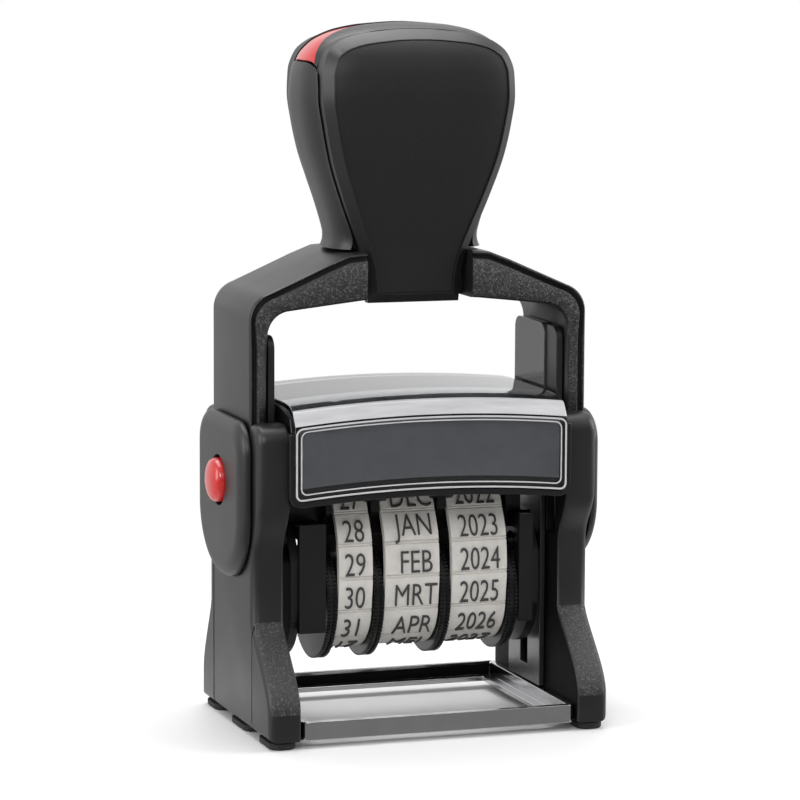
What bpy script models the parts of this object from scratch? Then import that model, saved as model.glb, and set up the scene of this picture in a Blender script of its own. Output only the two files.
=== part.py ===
"""Self-inking date stamp on a U-shaped yoke.

Metres, +Z up, front towards -Y. The origin is on the desk, below the middle of the stamp's box.
The yoke slides down in two side housings. It carries a die unit with three date bands, which turns
half a turn about a cross axis on the way, from the ink pad above it down to the paper.
"""
import math

import bmesh
import bpy
from mathutils import Matrix, Vector

MM = 0.001
FLAT_ANGLE = math.radians(0.5)
MITRE_SHARE = 0.5
PLAIN_SHARP = 35.0
CURVED_SHARP = 20.0
ROUND_SHARP = 60.0
BEVEL_SHARP = 40.0

# Shared clearances, and the overrun of every cut
SEAT = 0.3 * MM
SLIDE = 0.4 * MM
RUN = 0.09 * MM
BOTTOM_CLEARANCE = 0.8 * MM
OVERRUN = 2.0 * MM
MERGE_DISTANCE = 0.01 * MM

# Motion of the yoke and of the die unit
STROKE = 14.5 * MM
TYPE_RADIUS = 17.2 * MM
PIVOT_Z = STROKE + TYPE_RADIUS
TYPE_Z = PIVOT_Z + TYPE_RADIUS

# Date wheels, and the bands that they drive: widths across the stamp
AXLE_DROP = 8.5 * MM
AXLE_Z = PIVOT_Z - AXLE_DROP
AXLE_RADIUS = 1.5 * MM
DISC_RADIUS = 11.5 * MM
TOOTH_DEPTH = 0.45 * MM
DISC_TEETH = 40
TOOTH_SHARES = (0.0, 0.5)
DISC_WIDTH = 1.9 * MM
DISC_GAP = SEAT
DAY_BAND_WIDTH = 6.5 * MM
MONTH_BAND_WIDTH = 10.5 * MM
YEAR_BAND_WIDTH = 10.8 * MM
BAND_WIDTHS = DAY_BAND_WIDTH + MONTH_BAND_WIDTH + YEAR_BAND_WIDTH
DATE_SET_OFFSET = 1.2 * MM
DATE_SET_HALF = (4 * DISC_WIDTH + 6 * DISC_GAP + BAND_WIDTHS) / 2
DAY_DISC = (DATE_SET_OFFSET - DATE_SET_HALF, DATE_SET_OFFSET - DATE_SET_HALF + DISC_WIDTH)
DAY_BAND = (DAY_DISC[1] + DISC_GAP, DAY_DISC[1] + DISC_GAP + DAY_BAND_WIDTH)
MONTH_DISC = (DAY_BAND[1] + DISC_GAP, DAY_BAND[1] + DISC_GAP + DISC_WIDTH)
MONTH_BAND = (MONTH_DISC[1] + DISC_GAP, MONTH_DISC[1] + DISC_GAP + MONTH_BAND_WIDTH)
YEAR_DISC = (MONTH_BAND[1] + DISC_GAP, MONTH_BAND[1] + DISC_GAP + DISC_WIDTH)
YEAR_BAND = (YEAR_DISC[1] + DISC_GAP, YEAR_DISC[1] + DISC_GAP + YEAR_BAND_WIDTH)
LAST_DISC = (YEAR_BAND[1] + DISC_GAP, YEAR_BAND[1] + DISC_GAP + DISC_WIDTH)

# The section of a band: its path round the wheel and up over the crest
BAND_THICKNESS = 1.3 * MM
BAND_GROOVE = 0.3 * MM
BAND_GROOVE_WIDTH = 0.35 * MM
BAND_CELLS = 16
CELL_START_SHARE = 0.5
BAND_SINK = 0.7 * MM
BAND_WHEEL_RADIUS = DISC_RADIUS - BAND_SINK
DRUM_RADIUS = BAND_WHEEL_RADIUS - BAND_THICKNESS - SEAT
BAND_TOP_HALF = 3.0 * MM
BAND_BELLY = 0.6 * MM
BAND_BELLY_HALF = BAND_WHEEL_RADIUS + BAND_BELLY
BAND_BELLY_RISE = 5.2 * MM
BAND_BELLY_Z = AXLE_Z + BAND_BELLY_RISE
BAND_CHEST_INSET = 0.5 * MM
BAND_CHEST_HALF = BAND_BELLY_HALF - BAND_CHEST_INSET
BAND_CHEST_RISE = 5.8 * MM
BAND_CHEST_Z = BAND_BELLY_Z + BAND_CHEST_RISE
BAND_NECK_INSET = 2.6 * MM
BAND_NECK_HALF = BAND_CHEST_HALF - BAND_NECK_INSET
BAND_NECK_DROP = 8.7 * MM
BAND_NECK_Z = TYPE_Z - BAND_NECK_DROP
BAND_CREST_DROP = 0.5 * MM
BAND_ARC_STEPS = 12
ROUND_SEGMENTS = 28
TAB_SEGMENTS = 10

# Die frame: crossbar, cheeks, aprons, dividers and tabs
CROSSBAR_RISE = 3.6 * MM
CROSSBAR_LOW_Z = PIVOT_Z + CROSSBAR_RISE
CROSSBAR_DROP = 5.9 * MM
CROSSBAR_HIGH_Z = TYPE_Z - CROSSBAR_DROP
CROSSBAR_HALF_DEPTH = 4.4 * MM
CREST_HALF_DEPTH = BAND_TOP_HALF / 2
APRON_WIDTH = 2.7 * MM
CHEEK_THICKNESS = 1.7 * MM
CHEEK_GAP = 1.2 * MM
CHEEK_INSET = 1.1 * MM
CHEEK_RADIUS = DISC_RADIUS - CHEEK_INSET
CHEEK_HEAD = 6.9 * MM
CHEEK_TOP_Z = PIVOT_Z + CHEEK_HEAD
APRON_DEPTH = 1.4 * MM
APRON_INSET = 0.3 * MM
APRON_Y = DISC_RADIUS - APRON_INSET
APRON_DROP = 4.8 * MM
APRON_LOW_Z = AXLE_Z - APRON_DROP
APRON_TAPER = 1.6 * MM
APRON_LEDGE = 0.4 * MM
APRON_LEDGE_HEIGHT = 2.9 * MM
DIVIDER_MARGIN = 0.45 * MM
DIVIDER_DROP = 2.9 * MM
DIVIDER_TOP_Z = TYPE_Z - DIVIDER_DROP
TAB_RADIUS = 1.5 * MM
TAB_LIFT = 0.4 * MM
TAB_DROP = 5.5 * MM
TAB_Z = TYPE_Z - TAB_DROP
TAB_REACH = 1.3 * MM
PIN_RADIUS = 1.7 * MM
PIN_GRIP = 2.0 * MM
SLOT_SIDE_CLEARANCE = 0.2 * MM
CHEEK_INNER_X = DATE_SET_OFFSET + DATE_SET_HALF + APRON_WIDTH
CHEEK_FACES = (CHEEK_INNER_X, CHEEK_INNER_X + CHEEK_THICKNESS)
OUTER_DISC_FACE = {-1: -DAY_DISC[0], 1: LAST_DISC[1]}

# Ink pad cartridge, above the type at rest
INK_GAP = 0.4 * MM
FELT_STAND_OUT = 0.6 * MM
FELT_THICKNESS = 2.6 * MM
FELT_SIDE_MARGIN = 3.8 * MM
FELT_HALF_DEPTH = 7.0 * MM
PAD_LEDGE = 1.8 * MM
PAD_LEDGE_THICKNESS = 1.3 * MM
TRAY_LOW_Z = TYPE_Z + INK_GAP + FELT_STAND_OUT
TRAY_HEIGHT = 6.0 * MM
TRAY_TAB_REACH = 1.4 * MM
TRAY_TAB_HALF = 9.0 * MM
TRAY_TAB_HEIGHT = 2.6 * MM

# Steel guide plates beside the die unit, with a slot for the pivot pins
GUIDE_THICKNESS = 1.0 * MM
GUIDE_INNER_X = CHEEK_FACES[1] + CHEEK_GAP
GUIDE_OUTER_X = GUIDE_INNER_X + GUIDE_THICKNESS
GUIDE_HALF_DEPTH = 8.2 * MM
GUIDE_MARGIN = 3.0 * MM
GUIDE_TOP_GAP = 0.4 * MM

# Side housings: the body's width and height follow the date set and the ink cartridge
HOUSING_THICKNESS = 6.0 * MM
HOUSING_INNER_X = GUIDE_OUTER_X + SEAT
BODY_HALF_WIDTH = HOUSING_INNER_X + HOUSING_THICKNESS
BODY_HALF_DEPTH = 14.0 * MM
HOUSING_WALL = 1.4 * MM
HOUSING_HEAD = 2.1 * MM
HOUSING_TOP_Z = TRAY_LOW_Z + TRAY_HEIGHT + HOUSING_HEAD
SHOULDER_REACH = 4.2 * MM
SHOULDER_HEIGHT = 14.5 * MM
SHOULDER_HIGH_Z = HOUSING_TOP_Z - SHOULDER_HEIGHT
SHOULDER_EASE = 10.0 * MM
SHOULDER_LOW_Z = SHOULDER_HIGH_Z - SHOULDER_EASE
SHOULDER_ROUNDING = 3.2 * MM
FLARE_TOP_Z = 21.5 * MM
FLARE_END_Z = 6.5 * MM
FRONT_FLARE_REACH = 11.2 * MM
REAR_FLARE_REACH = 5.5 * MM
FLARE_POINTS = 10
FLARE_EASE = 1.2
HOUSING_EDGE = 0.7 * MM
SEAM_WIDTH = 0.5 * MM
SEAM_DEPTH = 0.5 * MM
SEAM_INSET = 0.4 * MM
REAR_SEAM_INSET = 2.6 * MM

# Feet
FOOT_HEIGHT = 1.2 * MM
FOOT_EDGE = 0.4 * MM
FOOT_INSET = 0.5 * MM
FRONT_FOOT_LENGTH = 9.5 * MM
MIDDLE_FOOT_LENGTH = 11.0 * MM
MIDDLE_FOOT_Y = -3.0 * MM
REAR_FOOT_LENGTH = 8.0 * MM

# Base frame of sheet metal between the housings
FRAME_HEIGHT = 3.4 * MM
FRAME_WALL = 1.4 * MM
FRAME_CORNER = 1.6 * MM
FRAME_EDGE = 0.3 * MM
FLANGE_WIDTH = 3.4 * MM
FLANGE_THICKNESS = 0.9 * MM

# Pad chamber, its clear cover and the card behind it
CHAMBER_HALF_WIDTH = HOUSING_INNER_X - SEAT
CHAMBER_WALL = 1.4 * MM
CHAMBER_SKIRT = 0.5 * MM
COVER_SIDE_GAP = 0.5 * MM
COVER_HALF_WIDTH = HOUSING_INNER_X - COVER_SIDE_GAP
COVER_OVERHANG = 1.4 * MM
COVER_FRONT_Y = BODY_HALF_DEPTH + SHOULDER_REACH + COVER_OVERHANG
COVER_WALL = 0.9 * MM
COVER_EDGE_RISE = 2.3 * MM
COVER_EDGE_Z = HOUSING_TOP_Z + COVER_EDGE_RISE
COVER_CROWN_RISE = 2.2 * MM
COVER_CROWN_Z = COVER_EDGE_Z + COVER_CROWN_RISE
COVER_BEVEL_HEIGHT = 2.4 * MM
COVER_BEVEL_Z = COVER_EDGE_Z - COVER_BEVEL_HEIGHT
COVER_BEVEL_DROP = 1.7 * MM
COVER_FACE_HEIGHT = 13.8 * MM
COVER_LOW_Z = COVER_BEVEL_Z - COVER_FACE_HEIGHT
COVER_REAR_FACE = 1.0 * MM
COVER_BARREL_RISE = 1.4 * MM
BARREL_STATIONS = 12
ROOF_STEPS = 8
CARD_SIDE_MARGIN = 1.2 * MM
CARD_HALF_WIDTH = COVER_HALF_WIDTH - CARD_SIDE_MARGIN
CARD_HEIGHT = 11.0 * MM
CARD_THICKNESS = 0.4 * MM
CARD_LIFT = 2.2 * MM
CARD_LOW_Z = COVER_LOW_Z + CARD_LIFT
CHAMBER_LOW_Z = COVER_LOW_Z - CHAMBER_SKIRT
GUIDE_TOP_Z = CHAMBER_LOW_Z - GUIDE_TOP_GAP

# Yoke: two legs and a beam, which stays clear of the cover when it is pressed
LEG_INSET = 0.2 * MM
LEG_THICKNESS = 3.6 * MM
LEG_OUTER_X = BODY_HALF_WIDTH - LEG_INSET
LEG_INNER_X = LEG_OUTER_X - LEG_THICKNESS
LEG_HALF_DEPTH = BODY_HALF_DEPTH - HOUSING_WALL - SLIDE
LEG_ENGAGEMENT = 8.0 * MM
LEG_END_Z = HOUSING_TOP_Z - LEG_ENGAGEMENT
ARCH_RADIUS = 4.4 * MM
ARCH_SWEEP = 80
ARCH_CLEARANCE = 1.0 * MM
ARCH_SIDE_Z = COVER_CROWN_Z + STROKE + ARCH_CLEARANCE - ARCH_RADIUS
ARCH_RISE = 5.8 * MM
ARCH_CROWN_Z = ARCH_SIDE_Z + ARCH_RISE
ARCH_CROWN_X = 12.0 * MM
YOKE_CORNER_RISE = 2.9 * MM
YOKE_CORNER_Z = ARCH_SIDE_Z + YOKE_CORNER_RISE
YOKE_CORNER_RADIUS = 5.2 * MM
YOKE_CORNER_SWEEP = 72
BEAM_HEIGHT = 8.8 * MM
YOKE_TOP_Z = ARCH_CROWN_Z + BEAM_HEIGHT
BEAM_FOOT_DROP = 1.8 * MM
BEAM_FOOT_REACH = 3.8 * MM
NECK_SHOULDER = 2.7 * MM
NECK_GAP = 0.9 * MM
YOKE_EDGE = 1.0 * MM
ARC_STEPS = 6

# Return springs, in wells below the yoke's legs
SPRING_RADIUS = 1.45 * MM
SPRING_WIRE_RADIUS = 0.28 * MM
SPRING_TURNS = 12
SPRING_CURL_POINTS = 8
SPRING_INSET = 2.6 * MM
SPRING_X = BODY_HALF_WIDTH - SPRING_INSET
SPRING_WELL_RADIUS = SPRING_RADIUS + SPRING_WIRE_RADIUS + SEAT
SPRING_WELL_FLOOR_Z = 4.0 * MM
POCKET_HALF_DEPTH = LEG_HALF_DEPTH + SLIDE
POCKET_FLOOR_Z = LEG_END_Z - STROKE - BOTTOM_CLEARANCE
SPRING_Y = POCKET_HALF_DEPTH - SPRING_WELL_RADIUS - SEAT

# Sliding arms inside the yoke's legs, which carry the pivot
ARM_THICKNESS = 1.6 * MM
ARM_INSET = 1.6 * MM
ARM_WIDE_HALF = LEG_HALF_DEPTH - ARM_INSET
ARM_SLOT_WALL = 0.8 * MM
ARM_NARROW_HALF = SPRING_Y - SPRING_WELL_RADIUS - ARM_SLOT_WALL - SLIDE
ARM_STEP = 0.6 * MM
ARM_STEP_Z = LEG_END_Z - ARM_STEP
ARM_DROP = 6.7 * MM
ARM_END_Z = PIVOT_Z - ARM_DROP
ARM_TOP_Z = ARCH_SIDE_Z
ARM_OUTER_X = LEG_INNER_X - SEAT
ARM_INNER_X = ARM_OUTER_X - ARM_THICKNESS
ARM_SLOT_FLOOR_Z = ARM_END_Z - STROKE - BOTTOM_CLEARANCE

# Side shields and the lock buttons
BUTTON_DROP = 12.0 * MM
BUTTON_Z = HOUSING_TOP_Z - BUTTON_DROP
BUTTON_RADIUS = 4.1 * MM
BUTTON_GAP = 0.6 * MM
BUTTON_HOLE_RADIUS = BUTTON_RADIUS + BUTTON_GAP
BUTTON_LENGTH = 3.0 * MM
BUTTON_DOME = 1.1 * MM
BUTTON_TRAVEL = 1.1 * MM
BUTTON_SEGMENTS = 24
BUTTON_RINGS = 4
SHIELD_STAND_OUT = 2.4 * MM
SHIELD_OUTER_X = BODY_HALF_WIDTH + SHIELD_STAND_OUT
SHIELD_OVERHANG = 0.6 * MM
SHIELD_HALF_DEPTH = BODY_HALF_DEPTH + SHIELD_OVERHANG
SHIELD_SHOULDER_DROP = 5.0 * MM
SHIELD_SHOULDER_Z = BUTTON_Z - SHIELD_SHOULDER_DROP
SHIELD_TIP_DROP = 12.8 * MM
SHIELD_LOW_Z = SHIELD_SHOULDER_Z - SHIELD_TIP_DROP
SHIELD_TIP_HALF = 2.2 * MM
SHIELD_POINTS = 8
SHIELD_CORNER = 6.0 * MM
SHIELD_EDGE = 0.9 * MM

# Grip: half widths and half depths at heights, up from the end of its tongue
TONGUE_DROP = 0.7 * MM
TONGUE_END_Z = ARCH_CROWN_Z - TONGUE_DROP
GRIP_HEIGHT = 51.1 * MM
GRIP_TOP_Z = TONGUE_END_Z + GRIP_HEIGHT
GRIP_HALF_WIDTH = 21.4 * MM
GRIP_HALF_DEPTH = 13.2 * MM
GRIP_SEGMENTS = 44
GRIP_HEIGHT_SHARES = (0.0, 0.09, 0.18, 0.26, 0.35, 0.45, 0.55, 0.65, 0.74, 0.82, 0.88, 0.93, 0.965, 0.988, 1.0)
GRIP_WIDTH_SHARES = (0.62, 0.62, 0.655, 0.7, 0.765, 0.85, 0.93, 0.98, 1.0, 0.985, 0.94, 0.84, 0.68, 0.44, 0.12)
GRIP_DEPTH_SHARES = (0.67, 0.68, 0.7, 0.76, 0.83, 0.9, 0.955, 0.985, 1.0, 0.975, 0.92, 0.81, 0.65, 0.42, 0.12)
GRIP_ROUND_POWER = 2.4
PLATE_SQUARE_POWER = 5.0
PLATE_DEPTH = 3.0 * MM
PLATE_STAND_OUT = 0.5 * MM
PLATE_HEIGHT_SHARES = (0.0, 0.1, 0.18, 0.26, 0.38, 0.52, 0.64, 0.74, 0.82, 0.89, 0.935, 0.962, 0.975)
PLATE_WIDTH_SHARES = (0.41, 0.43, 0.48, 0.55, 0.66, 0.77, 0.83, 0.862, 0.86, 0.81, 0.69, 0.48, 0.2)
PLATE_BACK = 1.2 * MM
LABEL_SINK = 0.25 * MM
LABEL_MARGIN = 1.8 * MM
INSERT_LOW_SHARE = 0.845


def sub_collection(name):
    collection = bpy.data.collections.new(name)
    bpy.context.scene.collection.children.link(collection)
    return collection


def clear_scene():
    for item in list(bpy.data.objects):
        bpy.data.objects.remove(item, do_unlink=True)


clear_scene()
PARTS = sub_collection("date_stamp")
CUTTERS = sub_collection("cutters")


def material(name, colour, roughness, metallic=0.0, alpha=1.0):
    made = bpy.data.materials.new(name)
    made.use_nodes = True
    shader = made.node_tree.nodes["Principled BSDF"]
    shader.inputs["Base Color"].default_value = (*colour, 1.0)
    shader.inputs["Roughness"].default_value = roughness
    shader.inputs["Metallic"].default_value = metallic
    shader.inputs["Alpha"].default_value = alpha
    return made


def new_object(name, mesh, collection=None):
    made = bpy.data.objects.new(name, mesh)
    (collection or PARTS).objects.link(made)
    return made


def as_cutter(obj):
    """Hide a helper solid that only cuts or joins."""
    obj.hide_render = True
    obj.display_type = "WIRE"
    return obj


def box(name, low, high, collection=None):
    """A box between two opposite corners, from a unit cube."""
    low, high = Vector(low), Vector(high)
    mesh = bpy.data.meshes.new(name)
    work = bmesh.new()
    bmesh.ops.create_cube(work, size=1.0, matrix=Matrix.Translation((low + high) / 2)
                          @ Matrix.Diagonal((*(high - low), 1.0)))
    work.to_mesh(mesh)
    work.free()
    return new_object(name, mesh, collection)


def rod(name, centre, radius, low_x, high_x, segments=ROUND_SEGMENTS, collection=None):
    """A cylinder along X at the point centre = (y, z)."""
    mesh = bpy.data.meshes.new(name)
    work = bmesh.new()
    place = Matrix.Translation(((low_x + high_x) / 2, *centre)) @ Matrix.Rotation(math.pi / 2, 4, "Y")
    bmesh.ops.create_cone(work, cap_ends=True, segments=segments, radius1=radius, radius2=radius,
                          depth=high_x - low_x, matrix=place)
    work.to_mesh(mesh)
    work.free()
    return new_object(name, mesh, collection)


def slab(name, outline, plane, low, high, collection=None):
    """A flat outline with a thickness. plane YZ runs from low to high along X, plane XZ along Y, XY along Z."""
    curve = bpy.data.curves.new(name, "CURVE")
    curve.dimensions = "2D"
    curve.fill_mode = "BOTH"
    curve.extrude = (high - low) / 2
    spline = curve.splines.new("POLY")
    spline.points.add(len(outline) - 1)
    for point, place in zip(spline.points, outline):
        point.co = (*place, 0.0, 1.0)
    spline.use_cyclic_u = True
    guide = bpy.data.objects.new(name + "_outline", curve)
    bpy.context.scene.collection.objects.link(guide)
    bpy.context.view_layer.update()
    mesh = bpy.data.meshes.new_from_object(guide.evaluated_get(bpy.context.evaluated_depsgraph_get()))
    bpy.data.objects.remove(guide)
    middle = (low + high) / 2
    turns = {
        "YZ": Matrix(((0, 0, 1, middle), (1, 0, 0, 0), (0, 1, 0, 0), (0, 0, 0, 1))),
        "XZ": Matrix(((1, 0, 0, 0), (0, 0, -1, middle), (0, 1, 0, 0), (0, 0, 0, 1))),
        "XY": Matrix(((1, 0, 0, 0), (0, 1, 0, 0), (0, 0, 1, middle), (0, 0, 0, 1))),
    }
    work = bmesh.new()
    work.from_mesh(mesh)
    bmesh.ops.remove_doubles(work, verts=work.verts, dist=MERGE_DISTANCE)
    bmesh.ops.transform(work, matrix=turns[plane], verts=work.verts)
    bmesh.ops.recalc_face_normals(work, faces=work.faces)
    bmesh.ops.dissolve_limit(work, angle_limit=FLAT_ANGLE, verts=work.verts, edges=work.edges)
    work.to_mesh(mesh)
    work.free()
    mesh.name = name
    return new_object(name, mesh, collection)


def boolean(target, tool, operation):
    step = target.modifiers.new(operation.lower() + "_" + tool.name, "BOOLEAN")
    step.operation = operation
    step.solver = "EXACT"
    step.object = tool
    return target


def cut(target, tool):
    if tool.name not in CUTTERS.objects:
        raise ValueError(tool.name + " is not a cutter")
    return boolean(target, as_cutter(tool), "DIFFERENCE")


def join(target, tool):
    return boolean(target, as_cutter(tool), "UNION")


def soften(obj, width, segments=2):
    """Round the sharp edges."""
    step = obj.modifiers.new("rounding", "BEVEL")
    step.width = width
    step.segments = segments
    step.limit_method = "ANGLE"
    step.angle_limit = math.radians(BEVEL_SHARP)
    step.use_clamp_overlap = False
    return obj


def shade(obj, angle=PLAIN_SHARP):
    obj.data.shade_smooth()
    obj.data.set_sharp_from_angle(angle=math.radians(angle))
    return obj


def dress(obj, slot):
    obj.data.materials.clear()
    obj.data.materials.append(slot)
    return obj


def set_origin(obj, place):
    """Move an object's origin to a world point and leave its mesh where it is."""
    place = Vector(place)
    obj.data.transform(Matrix.Translation(obj.location - place))
    obj.location = place
    return obj


def carry(parent, pieces):
    """Parent pieces to an empty without moving them."""
    bpy.context.view_layer.update()
    for piece in pieces:
        piece.parent = parent
        piece.matrix_parent_inverse = parent.matrix_world.inverted()


def empty(name, place):
    made = bpy.data.objects.new(name, None)
    made.location = place
    PARTS.objects.link(made)
    return made


def arc(centre, radius, start, end, steps):
    """Points on an arc in degrees, both ends in."""
    cx, cy = centre
    angles = [math.radians(start + (end - start) * step / steps) for step in range(steps + 1)]
    return [(cx + radius * math.cos(angle), cy + radius * math.sin(angle)) for angle in angles]


def parallel_path(path, inset):
    """A closed path drawn in by an inset all round; its points run anticlockwise."""
    count = len(path)
    points = []
    for index in range(count):
        before, here, after = (Vector(path[(index + shift) % count]) for shift in (-1, 0, 1))
        first, second = (here - before).normalized(), (after - here).normalized()
        bisector = Vector((-first.y - second.y, first.x + second.x)).normalized()
        square = Vector((-first.y, first.x))
        points.append(tuple(here + bisector * inset / max(bisector.dot(square), MITRE_SHARE)))
    return points


def mirrored(points):
    """A half outline on one side of the vertical axis, closed with its mirror image."""
    return points + [(-a, b) for a, b in reversed(points) if abs(a) > RUN]


BLACK = material("black_abs", (0.022, 0.022, 0.024), 0.42)
BLACK_SATIN = material("black_satin", (0.03, 0.03, 0.033), 0.36)
PANEL = material("panel_matte", (0.018, 0.018, 0.02), 0.6)
RED = material("red_gloss", (0.58, 0.014, 0.012), 0.22)
STEEL = material("guide_steel", (0.5, 0.5, 0.51), 0.32, 1.0)
CHROME = material("chrome", (0.72, 0.72, 0.74), 0.1, 1.0)
SPRING = material("spring_steel", (0.45, 0.45, 0.47), 0.3, 1.0)
RUBBER = material("black_rubber", (0.015, 0.015, 0.016), 0.75)
BAND = material("band_rubber", (0.55, 0.54, 0.51), 0.55)
CARD = material("card", (0.085, 0.085, 0.09), 0.5)
CLEAR = material("smoked_clear", (0.5, 0.5, 0.52), 0.05, 0.0, 0.3)
FELT = material("felt", (0.04, 0.03, 0.07), 0.95)


# Side housings

def flare(face_y, reach, sign):
    """The curve of a leg that runs out into a foot, from the top down."""
    points = []
    for step in range(FLARE_POINTS + 1):
        share = step / FLARE_POINTS
        height = FLARE_TOP_Z + (FLARE_END_Z - FLARE_TOP_Z) * share
        points.append((sign * (face_y + reach * math.sin(math.pi / 2 * share ** FLARE_EASE)), height))
    return points


def shoulder(sign):
    """The upper edge of a housing where it bulges out round the pad chamber, from the top down."""
    outer = BODY_HALF_DEPTH + SHOULDER_REACH
    rounding = arc((outer - SHOULDER_ROUNDING, HOUSING_TOP_Z - SHOULDER_ROUNDING), SHOULDER_ROUNDING, 90, 0,
                   ARC_STEPS)
    ease = []
    for step in range(1, ARC_STEPS):
        share = step / ARC_STEPS
        ease.append((BODY_HALF_DEPTH + SHOULDER_REACH * (1 + math.cos(math.pi * share)) / 2,
                     SHOULDER_HIGH_Z + (SHOULDER_LOW_Z - SHOULDER_HIGH_Z) * share))
    points = rounding + [(outer, SHOULDER_HIGH_Z)] + ease + [(BODY_HALF_DEPTH, SHOULDER_LOW_Z)]
    return [(sign * y, z) for y, z in points]


BODY_FLOOR_Z = FOOT_HEIGHT + SEAT


def spans(side, near, far):
    """The low and high X of a piece on one side of the stamp."""
    return tuple(sorted((side * near, side * far)))


def side_housing(side, name):
    outline = (shoulder(-1) + flare(BODY_HALF_DEPTH, FRONT_FLARE_REACH, -1)
               + [(-BODY_HALF_DEPTH - FRONT_FLARE_REACH, BODY_FLOOR_Z),
                  (BODY_HALF_DEPTH + REAR_FLARE_REACH, BODY_FLOOR_Z)]
               + flare(BODY_HALF_DEPTH, REAR_FLARE_REACH, 1)[::-1] + shoulder(1)[::-1])
    housing = slab(name, outline, "YZ", *spans(side, HOUSING_INNER_X, BODY_HALF_WIDTH))
    soften(housing, HOUSING_EDGE)
    low_x, high_x = spans(side, HOUSING_INNER_X - OVERRUN, BODY_HALF_WIDTH + OVERRUN)
    cut(housing, box(name + "_leg_pocket", (low_x, -POCKET_HALF_DEPTH, POCKET_FLOOR_Z),
                     (high_x, POCKET_HALF_DEPTH, HOUSING_TOP_Z + OVERRUN), CUTTERS))
    low_x, high_x = spans(side, HOUSING_INNER_X - OVERRUN, ARM_OUTER_X + SLIDE)
    arm_half = ARM_NARROW_HALF + SLIDE
    cut(housing, box(name + "_arm_slot", (low_x, -arm_half, ARM_SLOT_FLOOR_Z),
                     (high_x, arm_half, POCKET_FLOOR_Z + OVERRUN), CUTTERS))
    well = box(name + "_spring_well",
               (side * SPRING_X - SPRING_WELL_RADIUS, SPRING_Y - SPRING_WELL_RADIUS, SPRING_WELL_FLOOR_Z),
               (side * SPRING_X + SPRING_WELL_RADIUS, SPRING_Y + SPRING_WELL_RADIUS,
                POCKET_FLOOR_Z + OVERRUN), CUTTERS)
    cut(housing, well)
    seam_low, seam_high = spans(side, BODY_HALF_WIDTH - SEAM_DEPTH, BODY_HALF_WIDTH + OVERRUN)
    rear_seam_y = BODY_HALF_DEPTH - REAR_SEAM_INSET
    cut(housing, box(name + "_rear_seam", (seam_low, rear_seam_y, BODY_FLOOR_Z - OVERRUN),
                     (seam_high, rear_seam_y + SEAM_WIDTH, POCKET_FLOOR_Z - OVERRUN), CUTTERS))
    front_seam_y = SEAM_INSET - BODY_HALF_DEPTH
    cut(housing, box(name + "_front_seam", (seam_low, front_seam_y, BODY_FLOOR_Z - OVERRUN),
                     (seam_high, front_seam_y + SEAM_WIDTH, FLARE_TOP_Z), CUTTERS))
    return dress(shade(housing), BLACK)


def feet(side, word):
    low_x, high_x = spans(side, HOUSING_INNER_X + FOOT_INSET, BODY_HALF_WIDTH - FOOT_INSET)
    front_y = -BODY_HALF_DEPTH - FRONT_FLARE_REACH + FOOT_INSET
    rear_y = BODY_HALF_DEPTH + REAR_FLARE_REACH - FOOT_INSET
    runs = {
        "front": (front_y, front_y + FRONT_FOOT_LENGTH),
        "middle": (MIDDLE_FOOT_Y - MIDDLE_FOOT_LENGTH / 2, MIDDLE_FOOT_Y + MIDDLE_FOOT_LENGTH / 2),
        "rear": (rear_y - REAR_FOOT_LENGTH, rear_y),
    }
    for place, (low_y, high_y) in runs.items():
        foot = box(f"{word}_{place}_foot", (low_x, low_y, 0), (high_x, high_y, FOOT_HEIGHT))
        dress(soften(foot, FOOT_EDGE), RUBBER)


# Base frame: an upright wall all round, with a flange turned in at its foot

def rounded_rectangle(low, high, radius):
    (x0, y0), (x1, y1) = low, high
    points = []
    for cx, cy, start in ((x1 - radius, y1 - radius, 0), (x0 + radius, y1 - radius, 90),
                          (x0 + radius, y0 + radius, 180), (x1 - radius, y0 + radius, 270)):
        points += arc((cx, cy), radius, start, start + 90, ARC_STEPS // 2)
    return points


def base_frame():
    half = HOUSING_INNER_X - SEAT
    front = -BODY_HALF_DEPTH - FRONT_FLARE_REACH + FOOT_INSET
    rear = BODY_HALF_DEPTH + REAR_FLARE_REACH - FOOT_INSET
    top = BODY_FLOOR_Z + FRAME_HEIGHT
    frame = slab("base_frame", rounded_rectangle((-half, front), (half, rear), FRAME_CORNER), "XY",
                 BODY_FLOOR_Z, top)
    soften(frame, FRAME_EDGE, 1)
    wall = FRAME_WALL
    cut(frame, box("frame_opening", (-half + wall, front + wall, BODY_FLOOR_Z + FLANGE_THICKNESS),
                   (half - wall, rear - wall, top + OVERRUN), CUTTERS))
    flange = FLANGE_WIDTH
    cut(frame, box("paper_opening", (-half + flange, front + flange, BODY_FLOOR_Z - OVERRUN),
                   (half - flange, rear - flange, top + OVERRUN), CUTTERS))
    return dress(shade(frame), CHROME)


def guide_plate(side, name):
    low_x, high_x = spans(side, GUIDE_INNER_X, GUIDE_OUTER_X)
    floor = BODY_FLOOR_Z + FRAME_HEIGHT + SEAT
    plate = box(name, (low_x, -GUIDE_HALF_DEPTH, floor), (high_x, GUIDE_HALF_DEPTH, GUIDE_TOP_Z))
    half = PIN_RADIUS + SLOT_SIDE_CLEARANCE
    cut(plate, box(name + "_slot", (low_x - OVERRUN, -half, floor + GUIDE_MARGIN),
                   (high_x + OVERRUN, half, PIVOT_Z + PIN_RADIUS + SLIDE), CUTTERS))
    return dress(plate, STEEL)


# Yoke and its arms

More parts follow.
